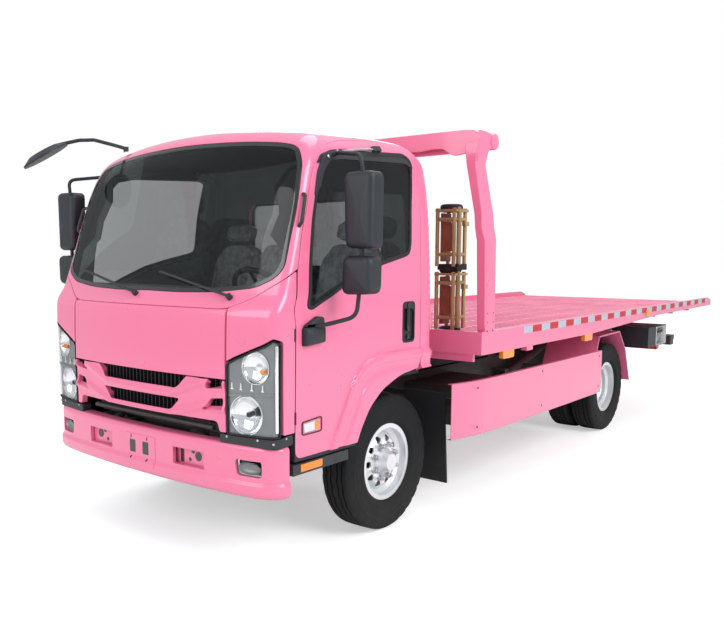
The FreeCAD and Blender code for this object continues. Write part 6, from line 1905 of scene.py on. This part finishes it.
for y in (0.72, 1.55, 2.55):
    blocks(mesh, (0.4, 1.034, y - 0.022, y + 0.022, 0.64, 0.648), (0.4, 1.034, y - 0.022, y - 0.016, 0.604,
        0.646), (1.026, 1.034, y - 0.022, y + 0.022, 0.47, 0.76))
finish_piece("skirt_arms", mesh, dark_frame, "chassis", both=True, edge=0.002)
mesh = bmesh.new()
for y, z in [(y, z) for y in (0.68, 2.68, 1.61) for z in (0.745, 0.5)]:
    turned(mesh, (1.06, fy(y), z), (1, 0, 0), [(0.008, 0), (0.008, 0.002), (0.004, 0.0032)], 16)
finish_piece("skirt_bolts", mesh, dark_frame, "chassis", both=True, edge=0.0)

# %% [markdown]
# The wrapped cushions are crowned, creased and sewn across. Cloth simulation would fill them too, but blocks
# shaped by formula at their own places come out the same on every run.

# %% Seats
CUSHION_CUTS = 23
CROWN = (0.1, 0.16, 0.1)
ROUND_POWER = 6
CHANNEL_DEPTH, CHANNEL_WIDE = 0.01, 0.045
CREASE_DEPTH = 0.0045
CREASE_SCALE, FINE_SCALE, FINE_SHARE = 14, 33, 0.6


def cushion(name, centre, size, lean, channels, body, *nodes):
    """A padded form with sewn channels, leaning back by an angle."""
    mesh = bmesh.new()
    bmesh.ops.create_cube(mesh, size=2.0)
    bmesh.ops.subdivide_edges(mesh, edges=mesh.edges[:], cuts=CUSHION_CUTS, use_grid_fill=True)
    tilt = Matrix.Rotation(lean, 3, "X")
    centre = Vector(centre)
    for spot in mesh.verts:
        x, y, z = spot.co
        form = Vector((x * (1 - CROWN[0] * (abs(y) ** 3 + abs(z) ** 3)),
            y * (1 - CROWN[1] * (x ** 4 + z ** 4)), z * (1 - CROWN[2] * (x ** 4 + y ** 4))))
        form = form / sum(abs(part) ** ROUND_POWER for part in (x, y, z)) ** (1 / ROUND_POWER)
        place = Vector([part * length / 2 for part, length in zip(form, size)])
        for line in channels:
            place -= place.normalized() * CHANNEL_DEPTH * math.exp(-((y - line) / CHANNEL_WIDE) ** 2)
        crease = noise.noise(place * CREASE_SCALE + centre * 3) + FINE_SHARE * noise.noise(place * FINE_SCALE
            + centre)
        place += place.normalized() * CREASE_DEPTH * crease
        spot.co = tilt @ place + centre
    piece = finish_piece(name, mesh, seat_wrap, body, *nodes, edge=0.0, smooth=180)
    more = piece.modifiers.new("soften", "SUBSURF")
    more.levels = more.render_levels = 1


SEAT_LEAN = math.radians(14)
for x, wide, word in ((0.47, 0.47, "driver"), (-0.12, 0.4, "middle"), (-0.5, 0.44, "outer")):
    nodes = ("seats",) if word == "driver" else ()
    cushion("seat_pad_" + word, (x, fy(-0.095), 1.075), (wide, 0.47, 0.14), 0.0, (-0.35, 0.15), "cab", *nodes)
    cushion("seat_back_" + word, (x, fy(0.15), 1.375), (wide, 0.125, 0.5), -SEAT_LEAN, (), "cab")
    if word != "middle":
        cushion("head_rest_" + word, (x, fy(0.202), 1.7), (0.25, 0.085, 0.12), -SEAT_LEAN, (), "cab")
